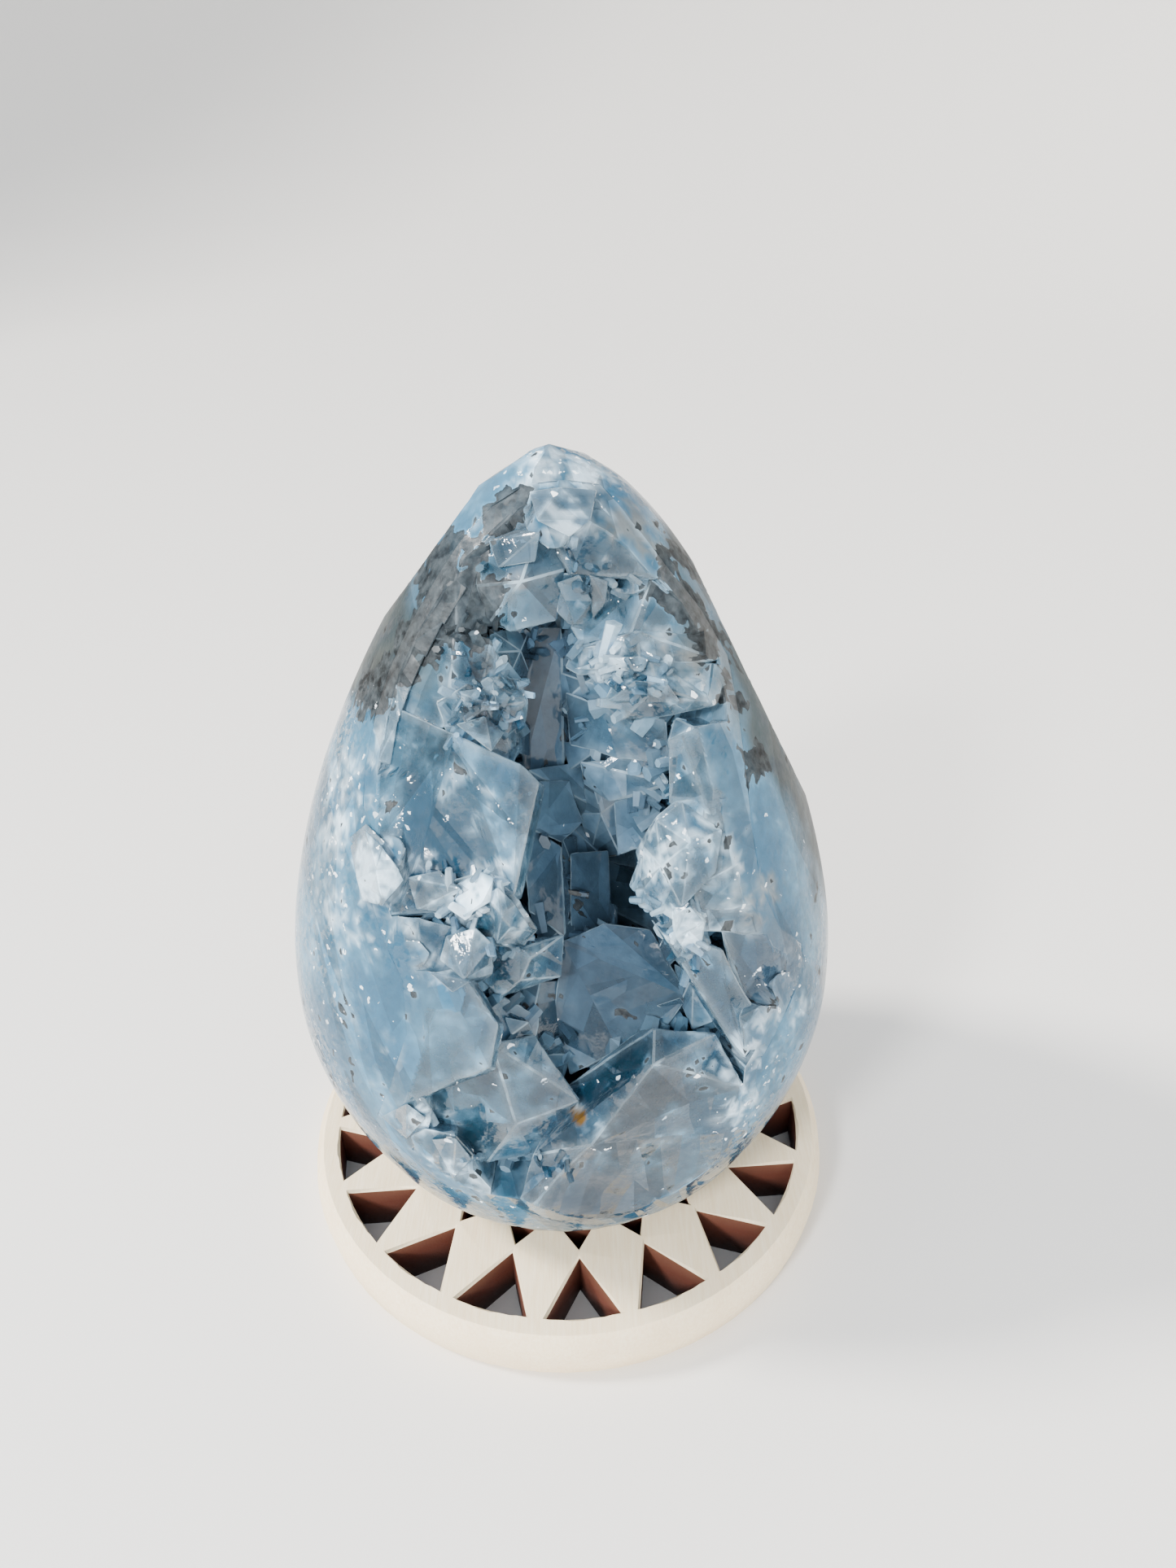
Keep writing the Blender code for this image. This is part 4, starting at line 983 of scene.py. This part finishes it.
# %% The tree that scatters them
def scatter_tree(material):
    tree = bpy.data.node_groups.new("small_crystals", "GeometryNodeTree")
    sockets = {}
    for name, kind in (("Ground", "Geometry"), ("Share", "String"), ("Spacing", "Float"),
                       ("Crystal Size", "Float"), ("Seed", "Int")):
        sockets[name] = tree.interface.new_socket(
            name, in_out="INPUT", socket_type="NodeSocket" + kind).identifier
    tree.interface.new_socket("Crystals", in_out="OUTPUT", socket_type="NodeSocketGeometry")
    given = add_node(tree, "NodeGroupInput")
    share = add_node(tree, "GeometryNodeInputNamedAttribute", {"data_type": "FLOAT"},
                     Name=given["Share"])
    points = add_node(
        tree, "GeometryNodeDistributePointsOnFaces", {"distribute_method": "POISSON"},
        Mesh=given["Ground"], Distance_Min=given["Spacing"], Density_Max=2.0e6,
        Density_Factor=share["Attribute"], Seed=given["Seed"],
    )
    crystal = add_node(
        tree, "GeometryNodeMeshCone", {"fill_type": "NGON"}, Vertices=6, Side_Segments=1,
        Radius_Top=0.42, Radius_Bottom=0.60, Depth=1.5,
    )
    sunk = add_node(tree, "GeometryNodeTransform", None, Geometry=crystal["Mesh"],
                    Translation=(0.0, 0.0, -0.7))
    anyhow = {"data_type": "FLOAT_VECTOR"}
    lean = add_node(tree, "FunctionNodeRandomValue", anyhow, _0=(-0.9, -0.9, 0.0),
                    _1=(0.9, 0.9, 6.28), Seed=3)
    lean = add_node(tree, "FunctionNodeEulerToRotation", None, Euler=lean[0])
    turned = add_node(tree, "FunctionNodeRotateRotation", {"rotation_space": "LOCAL"},
                      Rotation=points["Rotation"], Rotate_By=lean[0])
    size = add_node(tree, "FunctionNodeRandomValue", anyhow, _0=(0.5, 0.35, 0.6),
                    _1=(1.2, 0.8, 1.4), Seed=4)
    size = add_node(tree, "ShaderNodeVectorMath", {"operation": "SCALE"}, _0=size[0],
                    Scale=given["Crystal Size"])
    placed = add_node(tree, "GeometryNodeInstanceOnPoints", None, Points=points["Points"],
                      Instance=sunk["Geometry"], Rotation=turned[0], Scale=size[0])
    tone = add_node(tree, "FunctionNodeRandomValue", {"data_type": "FLOAT"}, _2=0.7, _3=1.4, Seed=5)
    toned = add_node(tree, "GeometryNodeStoreNamedAttribute",
                     {"data_type": "FLOAT", "domain": "INSTANCE"},
                     Geometry=placed["Instances"], Name="tone", Value=tone[1])
    whole = add_node(tree, "GeometryNodeRealizeInstances", None, Geometry=toned["Geometry"])
    done = add_node(tree, "GeometryNodeSetMaterial", None, Geometry=whole["Geometry"],
                    Material=material)
    add_node(tree, "NodeGroupOutput", None, Crystals=done["Geometry"])
    return tree, sockets


small_tree, small_sockets = scatter_tree(natural_crystal)
print("tree of", len(small_tree.nodes), "nodes with inputs", list(small_sockets))

# %% Scatter them
def scatter(name, share, **sizes):
    """A new mesh piece of small crystals where that painted share is high."""
    shape = bmesh.new()
    for made in (crystals, raised_crystals):
        shape.from_mesh(made.data)
    layer = shape.verts.layers.float[share]
    bmesh.ops.delete(shape, geom=[v for v in shape.verts if v[layer] < 0.05], context="VERTS")
    holder = new_piece(name + "_ground", shape)
    modifier = holder.modifiers.new(name, "NODES")
    modifier.node_group = small_tree
    modifier[small_sockets["Share"]] = share
    for key, value in sizes.items():
        modifier[small_sockets[key.replace("_", " ")]] = value
    graph = bpy.context.evaluated_depsgraph_get()
    mesh = bpy.data.meshes.new_from_object(holder.evaluated_get(graph), depsgraph=graph)
    made = bpy.data.objects.new(name, mesh)
    bpy.context.scene.collection.objects.link(made)
    bpy.data.objects.remove(holder)
    print(name, len(mesh.vertices) // 12, "crystals")
    return made


druse = scatter("druse", "druse", Spacing=1.0 * MM, Crystal_Size=1.4 * MM, Seed=4)
hollow_crystals = scatter("hollow_crystals", "hollow", Spacing=1.5 * MM, Crystal_Size=2.4 * MM, Seed=9)

# %% Ride and finish
for made in (polished_shell, crystals, raised_crystals, disc):
    made.data.shade_smooth()
    made.data.set_sharp_from_angle(angle=math.radians(22))
finish_piece(polished_shell, "polished_celestite", "geode_egg")
finish_piece(crystals, "celestite_crystal", "crystal_crust")
finish_piece(raised_crystals, "celestite_crystal")
finish_piece(druse, "celestite_crystal")
finish_piece(hollow_crystals, "celestite_crystal")
finish_piece(disc, "pale_plywood", "wooden_stand")
